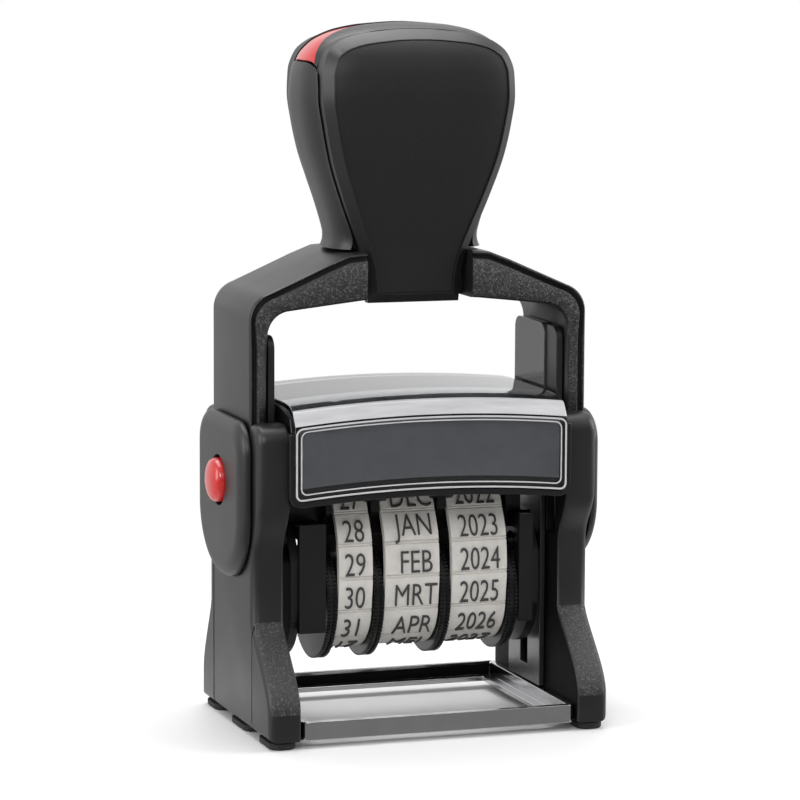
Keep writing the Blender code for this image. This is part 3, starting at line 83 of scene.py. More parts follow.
class Finish:
    """One surface finish: a material, its shader and the nodes behind it."""

    def __init__(self, name, **constants):
        self.material = bpy.data.materials.new(name)
        self.material.use_nodes = True
        self.tree = self.material.node_tree
        self.shader = self.tree.nodes["Principled BSDF"]
        for socket, value in constants.items():
            self.shader.inputs[socket.replace("_", " ")].default_value = value

    def feed(self, socket, value):
        """Gives a socket a plain value, or a link to another socket."""
        if isinstance(value, Value):
            self.tree.links.new(value.socket, socket)
        else:
            socket.default_value = value

    def node(self, kind, settings=None, inputs=None, output=0):
        """A new node with its settings and inputs; gives one of its outputs."""
        made = self.tree.nodes.new(kind)
        for name, setting in (settings or {}).items():
            setattr(made, name, setting)
        for name, value in (inputs or {}).items():
            self.feed(made.inputs[name], value)
        return Value(self, made.outputs[output])

    def math(self, operation, *terms, use_clamp=False):
        """One sum on values or plain numbers."""
        return self.node("ShaderNodeMath", {"operation": operation, "use_clamp": use_clamp},
                         dict(enumerate(terms)))

    def place(self, scale=(1.0, 1.0, 1.0)):
        """Object coordinates in metres, stretched by a scale along each axis."""
        spot = self.node("ShaderNodeTexCoord", output="Object")
        return self.node("ShaderNodeMapping", None, {"Vector": spot, "Scale": scale})

    def axis(self, name):
        """How far along X, Y or Z a point lies, in metres."""
        return self.node("ShaderNodeSeparateXYZ", None, {"Vector": self.place()}, output=name)

    def noise(self, size, detail=2.0, stretch=(1.0, 1.0, 1.0), rough=0.5):
        """Cloudy noise whose lumps are about a size across."""
        return self.node("ShaderNodeTexNoise", None, {"Vector": self.place(stretch), "Scale": 1 / size,
                                                      "Detail": detail, "Roughness": rough})

    def pebbles(self, size):
        """Rounded cells about a size across, as on spark-eroded plastic."""
        return self.node("ShaderNodeTexVoronoi", {"feature": "SMOOTH_F1"},
                         {"Vector": self.place(), "Scale": 1 / size}, output="Distance")

    def ramp(self, value, low, high, start=0.0, end=1.0):
        """The value's run from low to high, spread evenly from start to end."""
        return self.node("ShaderNodeMapRange", {"interpolation_type": "SMOOTHSTEP"},
                         {"Value": value, "From Min": low, "From Max": high, "To Min": start, "To Max": end})

    def blend(self, share, first, second):
        """From the first colour to the second, by share."""
        return self.node("ShaderNodeMix", {"data_type": "RGBA"}, {0: share, 6: first, 7: second}, output=2)

    def set(self, **varying):
        """Feeds the shader's inputs by name."""
        for socket, value in varying.items():
            self.feed(self.shader.inputs[socket.replace("_", " ")], value)
        return self

    def relief(self, height, depth):
        """Bump on the normal, from a height of 0 to 1 that stands for a depth in metres."""
        self.set(Normal=self.node("ShaderNodeBump", None, {"Strength": 1.0, "Distance": depth,
                                                           "Height": height}))
        return self


def paint(red, green, blue):
    """A colour as it shows on a screen, from 0 to 255 a channel, in linear light."""
    linear = [((level / 255 + 0.055) / 1.055) ** 2.4 if level > 10 else level / 255 / 12.92
              for level in (red, green, blue)]
    return (*linear, 1.0)


# Finishes
def satin_black():
    """Smooth moulded plastic with a soft sheen, a trace of cloudiness and a very fine skin."""
    finish = Finish("satin_black", Specular_IOR_Level=0.5)
    cloud = finish.noise(9 * MM, 4.0)
    skin = finish.noise(0.16 * MM, 2.0)
    finish.set(Base_Color=finish.blend(cloud, paint(21, 21, 22), paint(30, 30, 31)),
               Roughness=0.31 + 0.1 * cloud + 0.08 * skin)
    return finish.relief(skin, 0.01 * MM).material


def grained_black():
    """Plastic from a spark-eroded mould: small irregular pebbles in relief, their tops painted lighter as
    painted glints.
    """
    finish = Finish("grained_black", Specular_IOR_Level=0.5)
    coarse = finish.noise(0.38 * MM, 3.0, rough=0.65)
    pebble = finish.pebbles(0.45 * MM)
    grain = finish.ramp(coarse, 0.38, 0.66) * 0.7 + pebble * 0.45
    # Painted glints: the pebble tops get a lighter base colour, standing in for the light they catch.
    painted_glint = finish.ramp(grain, 0.62, 0.9)
    finish.set(Base_Color=finish.blend(painted_glint, paint(33, 33, 34), paint(78, 78, 80)),
               Roughness=0.46 - 0.14 * grain)
    return finish.relief(grain, 0.09 * MM).material


def matte_panel():
    """The near-black panel: a dry, close and even grain."""
    finish = Finish("matte_panel", Specular_IOR_Level=0.4)
    grain = finish.noise(0.22 * MM, 3.0, rough=0.6)
    cloud = finish.noise(12 * MM, 2.0)
    finish.set(Base_Color=finish.blend(grain, paint(15, 15, 15), paint(30, 30, 30)),
               Roughness=0.42 + 0.08 * cloud)
    return finish.relief(grain, 0.022 * MM).material


def deep_black():
    """Glossy black plastic of the inner mouldings."""
    finish = Finish("deep_black", Specular_IOR_Level=0.5)
    cloud = finish.noise(6 * MM, 3.0)
    skin = finish.noise(0.3 * MM, 2.0)
    finish.set(Base_Color=finish.blend(cloud, paint(12, 12, 13), paint(20, 20, 21)),
               Roughness=0.3 + 0.1 * cloud)
    return finish.relief(skin, 0.004 * MM).material


def inner_black():
    """Painted shade: a dull, darker black for the inner walls and ledges between parts and the rear rail's
    inside, where shade falls.
    """
    finish = Finish("inner_black", Specular_IOR_Level=0.12)
    cloud = finish.noise(4 * MM, 3.0)
    skin = finish.noise(0.3 * MM, 2.0)
    finish.set(Base_Color=finish.blend(cloud, paint(8, 8, 9), paint(15, 15, 16)),
               Roughness=0.6 + 0.1 * cloud)
    return finish.relief(skin, 0.01 * MM).material


def frosted_edge():
    """Painted highlight: clear plastic seen edge on, painted an opaque milky light grey for the light its
    edges catch, with soft streaks along it.
    """
    finish = Finish("frosted_edge", Specular_IOR_Level=0.6, Coat_Weight=0.4, Coat_Roughness=0.05)
    streak = finish.noise(1.2 * MM, 3.0, stretch=(0.15, 1.0, 1.0))
    finish.set(Base_Color=finish.blend(streak, paint(168, 168, 170), paint(206, 206, 208)),
               Roughness=0.2 + 0.1 * streak)
    return finish.relief(streak, 0.004 * MM).material


def polished_black():
    """Black plastic from a polished mould, almost a mirror."""
    finish = Finish("polished_black", Specular_IOR_Level=0.6)
    cloud = finish.noise(5 * MM, 3.0)
    scuff = finish.noise(0.2 * MM, 3.0, stretch=(1.0, 0.2, 1.0))
    finish.set(Base_Color=finish.blend(cloud, paint(52, 52, 52), paint(62, 62, 61)),
               Roughness=0.07 + 0.06 * scuff)
    return finish.relief(scuff, 0.002 * MM).material


def red_gloss():
    """Bright red moulded plastic under a clear sheen."""
    finish = Finish("red_gloss", Specular_IOR_Level=0.5, Coat_Weight=0.6, Coat_Roughness=0.08)
    cloud = finish.noise(7 * MM, 3.0)
    skin = finish.noise(0.25 * MM, 2.0)
    finish.set(Base_Color=finish.blend(cloud, paint(184, 24, 22), paint(198, 29, 27)),
               Roughness=0.26 + 0.08 * cloud)
    return finish.relief(skin, 0.003 * MM).material


def plated_steel():
    """Polished plating on bent sheet: near mirror, with drawn lines along it and faint clouding."""
    finish = Finish("plated_steel", Metallic=1.0)
    drawn = finish.noise(0.25 * MM, 3.0, stretch=(0.04, 0.04, 1.0))
    cloud = finish.noise(5 * MM, 4.0)
    finish.set(Base_Color=finish.blend(cloud, paint(176, 176, 178), paint(192, 192, 194)),
               Roughness=0.1 + 0.1 * cloud + 0.06 * drawn)
    return finish.relief(drawn, 0.006 * MM).material


def brushed_steel():
    """Stamped guide sheet: upright rolling marks and a dull shine."""
    finish = Finish("brushed_steel", Metallic=1.0)
    rolled = finish.noise(0.2 * MM, 4.0, stretch=(1.0, 1.0, 0.03))
    cloud = finish.noise(4 * MM, 3.0)
    finish.set(Base_Color=finish.blend(cloud, paint(104, 104, 105), paint(126, 126, 127)),
               Roughness=0.27 + 0.15 * rolled)
    return finish.relief(rolled, 0.008 * MM).material


def spring_wire():
    """Drawn wire with fine lengthways marks."""
    finish = Finish("spring_wire", Metallic=1.0)
    marks = finish.noise(0.15 * MM, 3.0)
    finish.set(Base_Color=finish.blend(marks, paint(150, 150, 152), paint(190, 190, 192)),
               Roughness=0.22 + 0.16 * marks)
    return finish.relief(marks, 0.004 * MM).material


def foot_rubber():
    """Soft black rubber, dull and slightly dusty."""
    finish = Finish("foot_rubber", Specular_IOR_Level=0.4)
    dust = finish.noise(0.8 * MM, 5.0, rough=0.7)
    skin = finish.noise(0.14 * MM, 2.0)
    finish.set(Base_Color=finish.blend(finish.ramp(dust, 0.45, 0.8), paint(24, 24, 25), paint(50, 49, 48)),
               Roughness=0.66 + 0.14 * dust)
    return finish.relief(skin, 0.012 * MM).material


def band_rubber():
    """Light warm grey band rubber with a fine talc bloom."""
    finish = Finish("band_rubber", Specular_IOR_Level=0.4)
    bloom = finish.noise(1.6 * MM, 5.0, rough=0.65)
    skin = finish.noise(0.12 * MM, 2.0)
    finish.set(Base_Color=finish.blend(bloom, paint(186, 183, 178), paint(214, 211, 206)),
               Roughness=0.5 + 0.16 * bloom)
    return finish.relief(skin, 0.01 * MM).material


def type_grey():
    """The tops of the raised figures, stained dark by ink."""
    finish = Finish("type_grey", Specular_IOR_Level=0.4)
    stain = finish.noise(0.5 * MM, 4.0, rough=0.7)
    finish.set(Base_Color=finish.blend(stain, paint(44, 44, 46), paint(74, 73, 72)),
               Roughness=0.42 + 0.2 * stain)
    return finish.relief(stain, 0.01 * MM).material


def index_card():
    """The grey card behind the cover: smooth board with short fibres."""
    finish = Finish("index_card", Specular_IOR_Level=0.3)
    fibre = finish.noise(0.2 * MM, 4.0, stretch=(0.25, 1.0, 1.0), rough=0.7)
    cloud = finish.noise(14 * MM, 2.0)
    finish.set(Base_Color=finish.blend(0.5 * fibre + 0.5 * cloud, paint(148, 148, 149), paint(162, 162, 163)),
               Roughness=0.5 + 0.1 * fibre)
    return finish.relief(fibre, 0.006 * MM).material


def clear_cover():
    """Clear, faintly smoked cover plastic with hardly visible polishing haze."""
    finish = Finish("clear_plastic", Transmission_Weight=1.0, IOR=1.49)
    haze = finish.noise(3 * MM, 4.0)
    finish.set(Base_Color=finish.blend(haze, paint(206, 208, 212), paint(224, 226, 230)),
               Roughness=0.01 + 0.05 * haze)
    return finish.relief(haze, 0.002 * MM).material


def ink_felt():
    """Felt full of ink: matted fibres, nearly black with a violet cast."""
    finish = Finish("ink_felt", Specular_IOR_Level=0.3, Sheen_Weight=0.25)
    fibre = finish.noise(0.3 * MM, 6.0, rough=0.75)
    blot = finish.noise(4 * MM, 3.0)
    finish.set(Base_Color=finish.blend(0.5 * fibre + 0.5 * blot, paint(26, 22, 40), paint(52, 46, 70)),
               Roughness=0.75 + 0.2 * fibre)
    return finish.relief(fibre, 0.08 * MM).material


SATIN = satin_black()
GRAINED = grained_black()
PANEL = matte_panel()
DEEP = deep_black()
POLISHED = polished_black()
PAINTED_SHADE = inner_black()
EDGE_HIGHLIGHT = frosted_edge()
RED = red_gloss()
PLATED = plated_steel()
BRUSHED = brushed_steel()
WIRE = spring_wire()
RUBBER = foot_rubber()
BAND = band_rubber()
TYPE = type_grey()
CARD = index_card()
CLEAR = clear_cover()
FELT = ink_felt()


# Studio
def shown(name, data):
    """An object for a mesh, lamp or camera, linked to the scene."""
    made = bpy.data.objects.new(name, data)
    bpy.context.scene.collection.objects.link(made)
    return made


def pale_floor():
    """A wide floor that fades into the white surroundings."""
    mesh = bpy.data.meshes.new("floor")
    work = bmesh.new()
    bmesh.ops.create_circle(work, cap_ends=True, radius=FLOOR_RADIUS, segments=96)
    work.to_mesh(mesh)
    work.free()
    mesh.materials.append(floor_finish())
    shown("floor", mesh)


def studio_air():
    """White to the camera, weak and even as light, darker towards the front in what shines or is clear."""
    world = bpy.data.worlds.new("studio_air")
    bpy.context.scene.world = world
    world.use_nodes = True
    nodes, links = world.node_tree.nodes, world.node_tree.links
    nodes.clear()
    path = nodes.new("ShaderNodeLightPath")
    direction = nodes.new("ShaderNodeTexCoord")
    split = nodes.new("ShaderNodeSeparateXYZ")
    links.new(direction.outputs["Generated"], split.inputs[0])
    turned = nodes.new("ShaderNodeMapRange")
    turned.interpolation_type = "SMOOTHSTEP"
    links.new(split.outputs["Y"], turned.inputs["Value"])
    for name, value in (("From Min", -1.0), ("From Max", GLOOM_END), ("To Min", FRONT_GLOOM), ("To Max", 1.0)):
        turned.inputs[name].default_value = value
    through = nodes.new("ShaderNodeMath")
    through.operation = "MAXIMUM"
    links.new(path.outputs["Is Glossy Ray"], through.inputs[0])
    links.new(path.outputs["Is Transmission Ray"], through.inputs[1])
    soft = nodes.new("ShaderNodeMix")
    links.new(through.outputs[0], soft.inputs[0])
    soft.inputs[2].default_value = AIR_LEVEL
    links.new(turned.outputs[0], soft.inputs[3])
    level = nodes.new("ShaderNodeMix")
    links.new(path.outputs["Is Camera Ray"], level.inputs[0])
    links.new(soft.outputs[0], level.inputs[2])
    level.inputs[3].default_value = 1.0
    air = nodes.new("ShaderNodeBackground")
    air.inputs["Color"].default_value = (1.0, 1.0, 1.0, 1.0)
    links.new(level.outputs[0], air.inputs["Strength"])
    links.new(air.outputs[0], nodes.new("ShaderNodeOutputWorld").inputs["Surface"])


def soft_lamps():
    """The wide soft lamps, each turned to its aim."""
    for name, spot, aim, size, power in LAMPS:
        lamp = bpy.data.lights.new(name, "AREA")
        lamp.shape = "RECTANGLE"
        lamp.size, lamp.size_y = size
        lamp.energy = power
        holder = shown(name, lamp)
        holder.location = spot
        holder.rotation_euler = (Vector(aim) - Vector(spot)).to_track_quat("-Z", "Y").to_euler()


def photo_camera():
    """The camera of the photograph, from its place, turn, dip and roll."""
    camera = bpy.data.cameras.new("camera")
    camera.lens = CAMERA_LENS
    camera.sensor_width = 36.0
    camera.clip_start = 0.02
    holder = shown("camera", camera)
    forward = Vector((math.sin(CAMERA_TURN) * math.cos(CAMERA_DIP),
                      math.cos(CAMERA_TURN) * math.cos(CAMERA_DIP), -math.sin(CAMERA_DIP)))
    level_right = Vector((math.cos(CAMERA_TURN), -math.sin(CAMERA_TURN), 0.0))
    down = forward.cross(level_right)
    right = level_right * math.cos(CAMERA_ROLL) + down * math.sin(CAMERA_ROLL)
    up = level_right * math.sin(CAMERA_ROLL) - down * math.cos(CAMERA_ROLL)
    turned = Matrix((right, up, -forward)).transposed()
    holder.matrix_world = Matrix.LocRotScale(Vector(CAMERA_SPOT), turned, None)
    bpy.context.scene.camera = holder


def floor_finish():
    """White by the stamp, where it keeps the shadow, and fading into the surroundings further out; in what
    metal and clear parts mirror, it glows at a set level, dimmer in front of the stamp, as a painted
    reflection.
    """
    finish = Finish("studio_floor", Roughness=0.55, Specular_IOR_Level=0.2)
    cloud = finish.noise(60 * MM, 2.0)
    finish.set(Base_Color=finish.blend(cloud, (0.93, 0.93, 0.93, 1.0), (0.95, 0.95, 0.95, 1.0)))
    spot = finish.place((1.0, 1.0, 0.0))
    away = finish.node("ShaderNodeVectorMath", {"operation": "LENGTH"}, {0: spot}, output="Value")
    seen = finish.node("ShaderNodeLightPath", output="Is Camera Ray")
    glossy = finish.node("ShaderNodeLightPath", output="Is Glossy Ray")
    through = finish.node("ShaderNodeLightPath", output="Is Transmission Ray")
    front = finish.ramp(finish.axis("Y"), DIM_GLOW_FAR, DIM_GLOW_NEAR, 1.0, 0.0)
    far = finish.ramp(away, FADE_START, FADE_END)
    near = finish.ramp(away, MIRROR_START, FADE_START)
    # Painted reflection: what metal and clear parts mirror of the floor is a glow, not its lit surface, from a
    # short way out and in front of the stamp also close by.
    mirrored = (glossy + through).clamped() * (near + front).clamped()
    fade = (far * seen + mirrored).clamped()
    # The mirrored glow is dimmer in front of the stamp than behind it.
    level = seen + (1 - seen) * (BACK_MIRRORED_GLOW - front * (BACK_MIRRORED_GLOW - FRONT_MIRRORED_GLOW))
    white = finish.node("ShaderNodeEmission", None, {"Strength": level})
    mixed = finish.tree.nodes.new("ShaderNodeMixShader")
    finish.feed(mixed.inputs[0], fade)
    finish.tree.links.new(finish.shader.outputs[0], mixed.inputs[1])
    finish.tree.links.new(white.socket, mixed.inputs[2])
    finish.tree.links.new(mixed.outputs[0], finish.tree.nodes["Material Output"].inputs["Surface"])
    return finish.material


FLOOR_RADIUS = 14.0
FADE_START = 0.09
FADE_END = 0.3
AIR_LEVEL = 0.22
FRONT_GLOOM = 0.06
GLOOM_END = -0.25
FRONT_MIRRORED_GLOW = 0.3
BACK_MIRRORED_GLOW = 0.75
MIRROR_START = 0.04
DIM_GLOW_NEAR = -0.0215
DIM_GLOW_FAR = -0.0265
LAMPS = (
    ("overhead_lamp", (0.0, 0.16, 0.72), (0.0, 0.0, 0.06), (0.5, 0.6), 4.2),
    ("left_lamp", (-0.75, -0.2, 0.35), (0.0, 0.0, 0.07), (0.45, 0.6), 3.0),
    ("right_lamp", (0.7, -0.12, 0.35), (0.0, 0.0, 0.07), (0.4, 0.6), 3.6),
    ("front_lamp", (-0.3, -0.8, 0.55), (0.0, 0.0, 0.06), (0.4, 0.3), 3.0),
)
CAMERA_SPOT = (-0.22349, -0.65408, 0.15094)
CAMERA_TURN = 0.3283
CAMERA_DIP = 0.1311
CAMERA_ROLL = -0.0050
CAMERA_LENS = 168.83


# Ways of making a piece
def between(places, levels, place):
    """A smooth curve through levels given at rising places, without overshoot."""
    place = min(max(place, places[0]), places[-1])
    index = max(step for step in range(len(places) - 1) if places[step] <= place)
    low, high = places[index], places[index + 1]
    share = (place - low) / (high - low)

    def slope(at):
        if at <= 0 or at >= len(places) - 1:
            return (levels[min(at + 1, len(places) - 1)] - levels[max(at - 1, 0)]) / (
                places[min(at + 1, len(places) - 1)] - places[max(at - 1, 0)])
        before = (levels[at] - levels[at - 1]) / (places[at] - places[at - 1])
        after = (levels[at + 1] - levels[at]) / (places[at + 1] - places[at])
        return 0.0 if before * after <= 0 else 2 * before * after / (before + after)

    rise = (high - low) * slope(index)
    fall = (high - low) * slope(index + 1)
    square, cube = share ** 2, share ** 3
    return (levels[index] * (2 * cube - 3 * square + 1) + rise * (cube - 2 * square + share)
            + levels[index + 1] * (3 * square - 2 * cube) + fall * (cube - square))


def drawn_skin(work, rings):
    """A closed skin drawn through rings of points, each ring extruded from the last."""
    corners = [work.verts.new(place) for place in rings[0]]
    edges = list(work.faces.new(corners).edges)
    for ring in rings[1:]:
        grown = bmesh.ops.extrude_edge_only(work, edges=edges)["geom"]
        fresh = {item for item in grown if isinstance(item, bmesh.types.BMVert)}
        moved = []
        for old, place in zip(corners, ring):
            risen = next(edge.other_vert(old) for edge in old.link_edges if edge.other_vert(old) in fresh)
            risen.co = place
            moved.append(risen)
        corners = moved
        edges = [item for item in grown if isinstance(item, bmesh.types.BMEdge)
                 and item.verts[0] in fresh and item.verts[1] in fresh]
    work.faces.new(corners)


def outline_face(work, points, plane, level=0.0):
    """One face whose corners are the points of an outline in the XZ or the YZ plane."""
    places = [(level, a, b) if plane == "YZ" else (a, level, b) for a, b in points]
    return work.faces.new([work.verts.new(place) for place in places])


def thicken(work, faces, way):
    """Extrudes faces by a vector into a solid; gives the new faces back."""
    grown = bmesh.ops.extrude_face_region(work, geom=faces, use_keep_orig=True)["geom"]
    bmesh.ops.translate(work, vec=way, verts=[item for item in grown if isinstance(item, bmesh.types.BMVert)])
    return [item for item in grown if isinstance(item, bmesh.types.BMFace)]


def round_corners(work, corners, radius):
    """Rounds corners of a flat outline before it gets its thickness."""
    bmesh.ops.bevel(work, geom=corners, offset=radius, offset_type="OFFSET", segments=6, profile=0.5,
                    affect="VERTICES", material=-1)


def round_edges(work, edges, width, segments):
    """Rounds edges in a number of steps."""
    bmesh.ops.bevel(work, geom=edges, offset=width, offset_type="OFFSET", segments=segments,
                    profile=0.5, affect="EDGES", material=-1, clamp_overlap=True)


def sharp_edges(work, angle=30.0):
    """Edges whose faces meet at more than an angle in degrees."""
    return [edge for edge in work.edges if edge.is_manifold and edge.calc_face_angle() > math.radians(angle)]


def turn_faces(work, faces, way):
    """Makes the normals of an open sheet agree and point, taken together, along a way."""
    bmesh.ops.recalc_face_normals(work, faces=faces)
    if sum(face.normal.dot(way) for face in faces) < 0:
        bmesh.ops.reverse_faces(work, faces=faces)


def sliced(work, along, place):
    """Cuts every face at a place along X or Y, for bending or pressing later."""
    way = {"X": (1, 0, 0), "Y": (0, 1, 0)}[along]
    bmesh.ops.bisect_plane(work, geom=work.verts[:] + work.edges[:] + work.faces[:],
                           plane_co=[place * part for part in way], plane_no=way)


def closed_loop(work, places):
    """A closed loop of edges through places; gives the edges back."""
    verts = [work.verts.new(place) for place in places]
    return [work.edges.new(pair) for pair in zip(verts, verts[1:] + verts[:1])]


def own_box(node):
    """A CAD node's box in the unshifted coordinates that the pieces are built in."""
    shift = Vector((0, BACKWARD_SHIFT, 0))
    low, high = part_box(node)
    return low - shift, high - shift


def box_solid(work, low, high):
    """A block between two corners."""
    middle = (Vector(low) + Vector(high)) / 2
    size = [abs(top - bottom) for bottom, top in zip(low, high)]
    verts = bmesh.ops.create_cube(work, size=1.0)["verts"]
    bmesh.ops.scale(work, vec=size, verts=verts)
    bmesh.ops.translate(work, vec=middle, verts=verts)


def rod_solid(work, centre, radius, low_x, high_x, segments):
    """A rod along X."""
    verts = bmesh.ops.create_cone(work, cap_ends=True, segments=segments, radius1=radius, radius2=radius,
                                  depth=high_x - low_x)["verts"]
    bmesh.ops.rotate(work, cent=(0, 0, 0), matrix=Matrix.Rotation(math.pi / 2, 3, "Y"), verts=verts)
    bmesh.ops.translate(work, vec=((low_x + high_x) / 2, *centre), verts=verts)


def piece(work, name, body, finishes, stands_for=(), edge=0.0, segments=2,
          smooth=32.0, choose=None):
    """Finishes a mesh as a piece that rides on a body and stands for CAD nodes."""
    bmesh.ops.remove_doubles(work, verts=work.verts, dist=0.002 * MM)
    bmesh.ops.recalc_face_normals(work, faces=work.faces)
    for face in work.faces:
        face.smooth = True
        if choose:
            face.material_index = choose(face)
    for seam in work.edges:
        if seam.is_manifold:
            seam.smooth = seam.calc_face_angle() < math.radians(smooth)
    bmesh.ops.translate(work, vec=(0, BACKWARD_SHIFT, 0), verts=work.verts)
    mesh = bpy.data.meshes.new(name)
    work.to_mesh(mesh)
    work.free()
    for coating in finishes:
        mesh.materials.append(coating)
    made = shown(name, mesh)
    if edge:
        rounding = made.modifiers.new("rounding", "BEVEL")
        rounding.width = edge
        rounding.segments = segments
        rounding.limit_method = "ANGLE"
        rounding.angle_limit = math.radians(smooth)
        rounding.harden_normals = True
    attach(made, body)
    for node in stands_for:
        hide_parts(node)
    return made


# Grip
GRIP_FOOT_Z = 78.7 * MM
GRIP_HEIGHT = 51.1 * MM
GRIP_HALF_WIDTH = 21.4 * MM
GRIP_HALF_DEPTH = 13.2 * MM
GRIP_HEIGHT_SHARES = (0.0, 0.09, 0.18, 0.26, 0.35, 0.45, 0.55, 0.65, 0.74, 0.82, 0.88, 0.93, 0.965, 0.988,
                      1.0)
GRIP_WIDTH_SHARES = (0.62, 0.62, 0.655, 0.7, 0.765, 0.85, 0.93, 0.98, 1.0, 0.985, 0.94, 0.84, 0.68, 0.44,
                     0.12)
GRIP_DEPTH_SHARES = (0.67, 0.68, 0.7, 0.76, 0.83, 0.9, 0.955, 0.985, 1.0, 0.975, 0.92, 0.81, 0.65, 0.42,
                     0.12)
PLATE_HEIGHT_SHARES = (0.0, 0.1, 0.18, 0.26, 0.38, 0.52, 0.64, 0.74, 0.82, 0.89, 0.935, 0.962, 0.975)
PLATE_WIDTH_SHARES = (0.41, 0.43, 0.48, 0.55, 0.66, 0.77, 0.83, 0.862, 0.86, 0.81, 0.69, 0.48, 0.2)
PLATE_BACK_Y = 6.34 * MM
PLATE_STAND_OUT = 0.5 * MM
CORE_POWER = 3.0
CROWN_POWER = 2.4
CORE_SLIM = 0.954
PLATE_POWER = 5.0
PETAL_TOP_Z = 122.6 * MM
PETAL_FLAT_HALF = 3 * MM
PETAL_FALL = 0.043 * MM
PETAL_FALL_POWER = 2.3
SQUARE_END_Z = 118 * MM
CROWN_START_Z = 127 * MM
YOKE_TOP_Z = 88.2 * MM
PART_GAP = 0.3 * MM


def grip_half(z, shares, size, extra=0.0):
    """Half the grip's width or depth at a height, by its shares of a size."""
    return between(GRIP_HEIGHT_SHARES, shares, (z - GRIP_FOOT_Z) / GRIP_HEIGHT) * size + extra


def grip_depth(x, z, power, extra=0.0):
    """How far the grip's rounded form reaches forward at a place across it."""
    half_x = grip_half(z, GRIP_WIDTH_SHARES, GRIP_HALF_WIDTH, extra)
    half_y = grip_half(z, GRIP_DEPTH_SHARES, GRIP_HALF_DEPTH, extra)
    across = min(abs(x) / half_x, 1.0)
    return half_y * (1 - across ** power) ** (1 / power)


def grip_reach(y, z, power):
    """How far the core's rounded form reaches sideways at a depth."""
    half_x = grip_half(z, GRIP_WIDTH_SHARES, GRIP_HALF_WIDTH * CORE_SLIM)
    half_y = grip_half(z, GRIP_DEPTH_SHARES, GRIP_HALF_DEPTH)
    along = min(abs(y) / half_y, 1.0)
    return half_x * (1 - along ** power) ** (1 / power)


def plate_half(z):
    """Half the width of a face plate at a height."""
    return between(PLATE_HEIGHT_SHARES, PLATE_WIDTH_SHARES, (z - GRIP_FOOT_Z) / GRIP_HEIGHT) * GRIP_HALF_WIDTH


def petal_top(y):
    """The rounded upper end of a side petal, highest in the middle and falling to the plates."""
    return PETAL_TOP_Z - PETAL_FALL * (max(abs(y) - PETAL_FLAT_HALF, 0.0) / MM) ** PETAL_FALL_POWER


def petal_power(z):
    """Squarer sections low down, rounder ones towards the crown."""
    return between((GRIP_FOOT_Z, SQUARE_END_Z, CROWN_START_Z), (CORE_POWER, CORE_POWER, CROWN_POWER), z)


def petal_section(share):
    """One ring round both petals and the web between them, from the foot to the petals' rounded tops."""
    low = YOKE_TOP_Z + PART_GAP
    z = low + (petal_top(0) - low) * share
    for _ in range(SETTLING_ROUNDS):
        front = grip_depth(plate_half(z) + PART_GAP, z, petal_power(z))
        z += (low + (petal_top(front) - low) * share - z) * SETTLING_SHARE
    ring = []
    for side in (-1, 1):
        for step in range(PETAL_STEPS + 1):
            swing = math.sin(math.pi * (step / PETAL_STEPS - 0.5))
            y = math.copysign(abs(swing) ** PETAL_SPREAD_POWER, swing) * front
            z = low + (petal_top(y) - low) * share
            skirt = SKIRT_REACH * max(0.0, 1 - (z - low) / SKIRT_HEIGHT) ** SKIRT_POWER
            x = max(grip_reach(y, z, petal_power(z)), plate_half(z) + PART_GAP) + skirt
            ring.append((side * x, -side * y, z))
        inner_y = side * (PLATE_BACK_Y - PART_GAP)
        z = low + (petal_top(inner_y) - low) * share
        wall = plate_half(z) + PART_GAP
        ring.append((side * wall, -inner_y, z))
        ring.append((-side * wall, -inner_y, z))
    return ring


PETAL_STEPS = 26
PETAL_FOOT_SHARES = (0.0, 0.01, 0.02, 0.035, 0.055, 0.08)
PETAL_LEVELS = 34
PETAL_SPREAD_POWER = 0.75
SKIRT_REACH = 1.2 * MM
SKIRT_HEIGHT = 3.4 * MM
SKIRT_POWER = 2.2
SETTLING_ROUNDS = 30
SETTLING_SHARE = 0.4


def grip_core():
    """Both side petals and the web that joins them behind the plates."""
    work = bmesh.new()
    foot = PETAL_FOOT_SHARES[-1]
    shares = list(PETAL_FOOT_SHARES)
    shares += [foot + (1 - foot) * (step + 1) / PETAL_LEVELS for step in range(PETAL_LEVELS)]
    drawn_skin(work, [petal_section(share) for share in shares])
    return piece(work, "grip_petals", "yoke_and_grip", [SATIN], ["grip_core"], edge=0.35 * MM,
                 segments=3, smooth=38.0)


def crown_top(y):
    """The height at which the grip's form closes at a depth."""
    low, high = CROWN_LOW_Z, GRIP_FOOT_Z + GRIP_HEIGHT
    if grip_half(high, GRIP_DEPTH_SHARES, GRIP_HALF_DEPTH) >= abs(y):
        return high
    for _ in range(SETTLING_ROUNDS):
        middle = (low + high) / 2
        if grip_half(middle, GRIP_DEPTH_SHARES, GRIP_HALF_DEPTH) > abs(y):
            low = middle
        else:
            high = middle
    return low


def crown_spot(along, y):
    """A place on the crown: how far over from the middle, from -1 to 1, and at which depth."""
    low, high = petal_top(y) + INSERT_GAP, crown_top(y)
    z = low + (high - low) * (1 - abs(along) ** SADDLE_POWER)
    reach = 0.0 if abs(along) < MIDDLE_SHARE else grip_reach(y, z, petal_power(z))
    return math.copysign(reach, along), y, z


def red_insert():
    """The saddle over the top of the grip, down to the petals on both sides."""
    work = bmesh.new()
    grid = bmesh.ops.create_grid(work, x_segments=SADDLE_COLUMNS, y_segments=INSERT_ROWS, size=1.0)["verts"]
    for vert in grid:
        vert.co = crown_spot(vert.co.x, vert.co.y * (PLATE_BACK_Y - PART_GAP))
    turn_faces(work, work.faces[:], Vector((0, 0, 1)))
    work.normal_update()
    sunk = [(vert, vert.co - vert.normal * INSERT_SINK) for vert in work.verts]
    for vert, place in sunk:
        vert.co = place
    bmesh.ops.solidify(work, geom=work.faces, thickness=INSERT_WALL)
    return piece(work, "red_insert", "yoke_and_grip", [RED], ["top_insert"], edge=0.22 * MM,
                 segments=3, smooth=50.0)


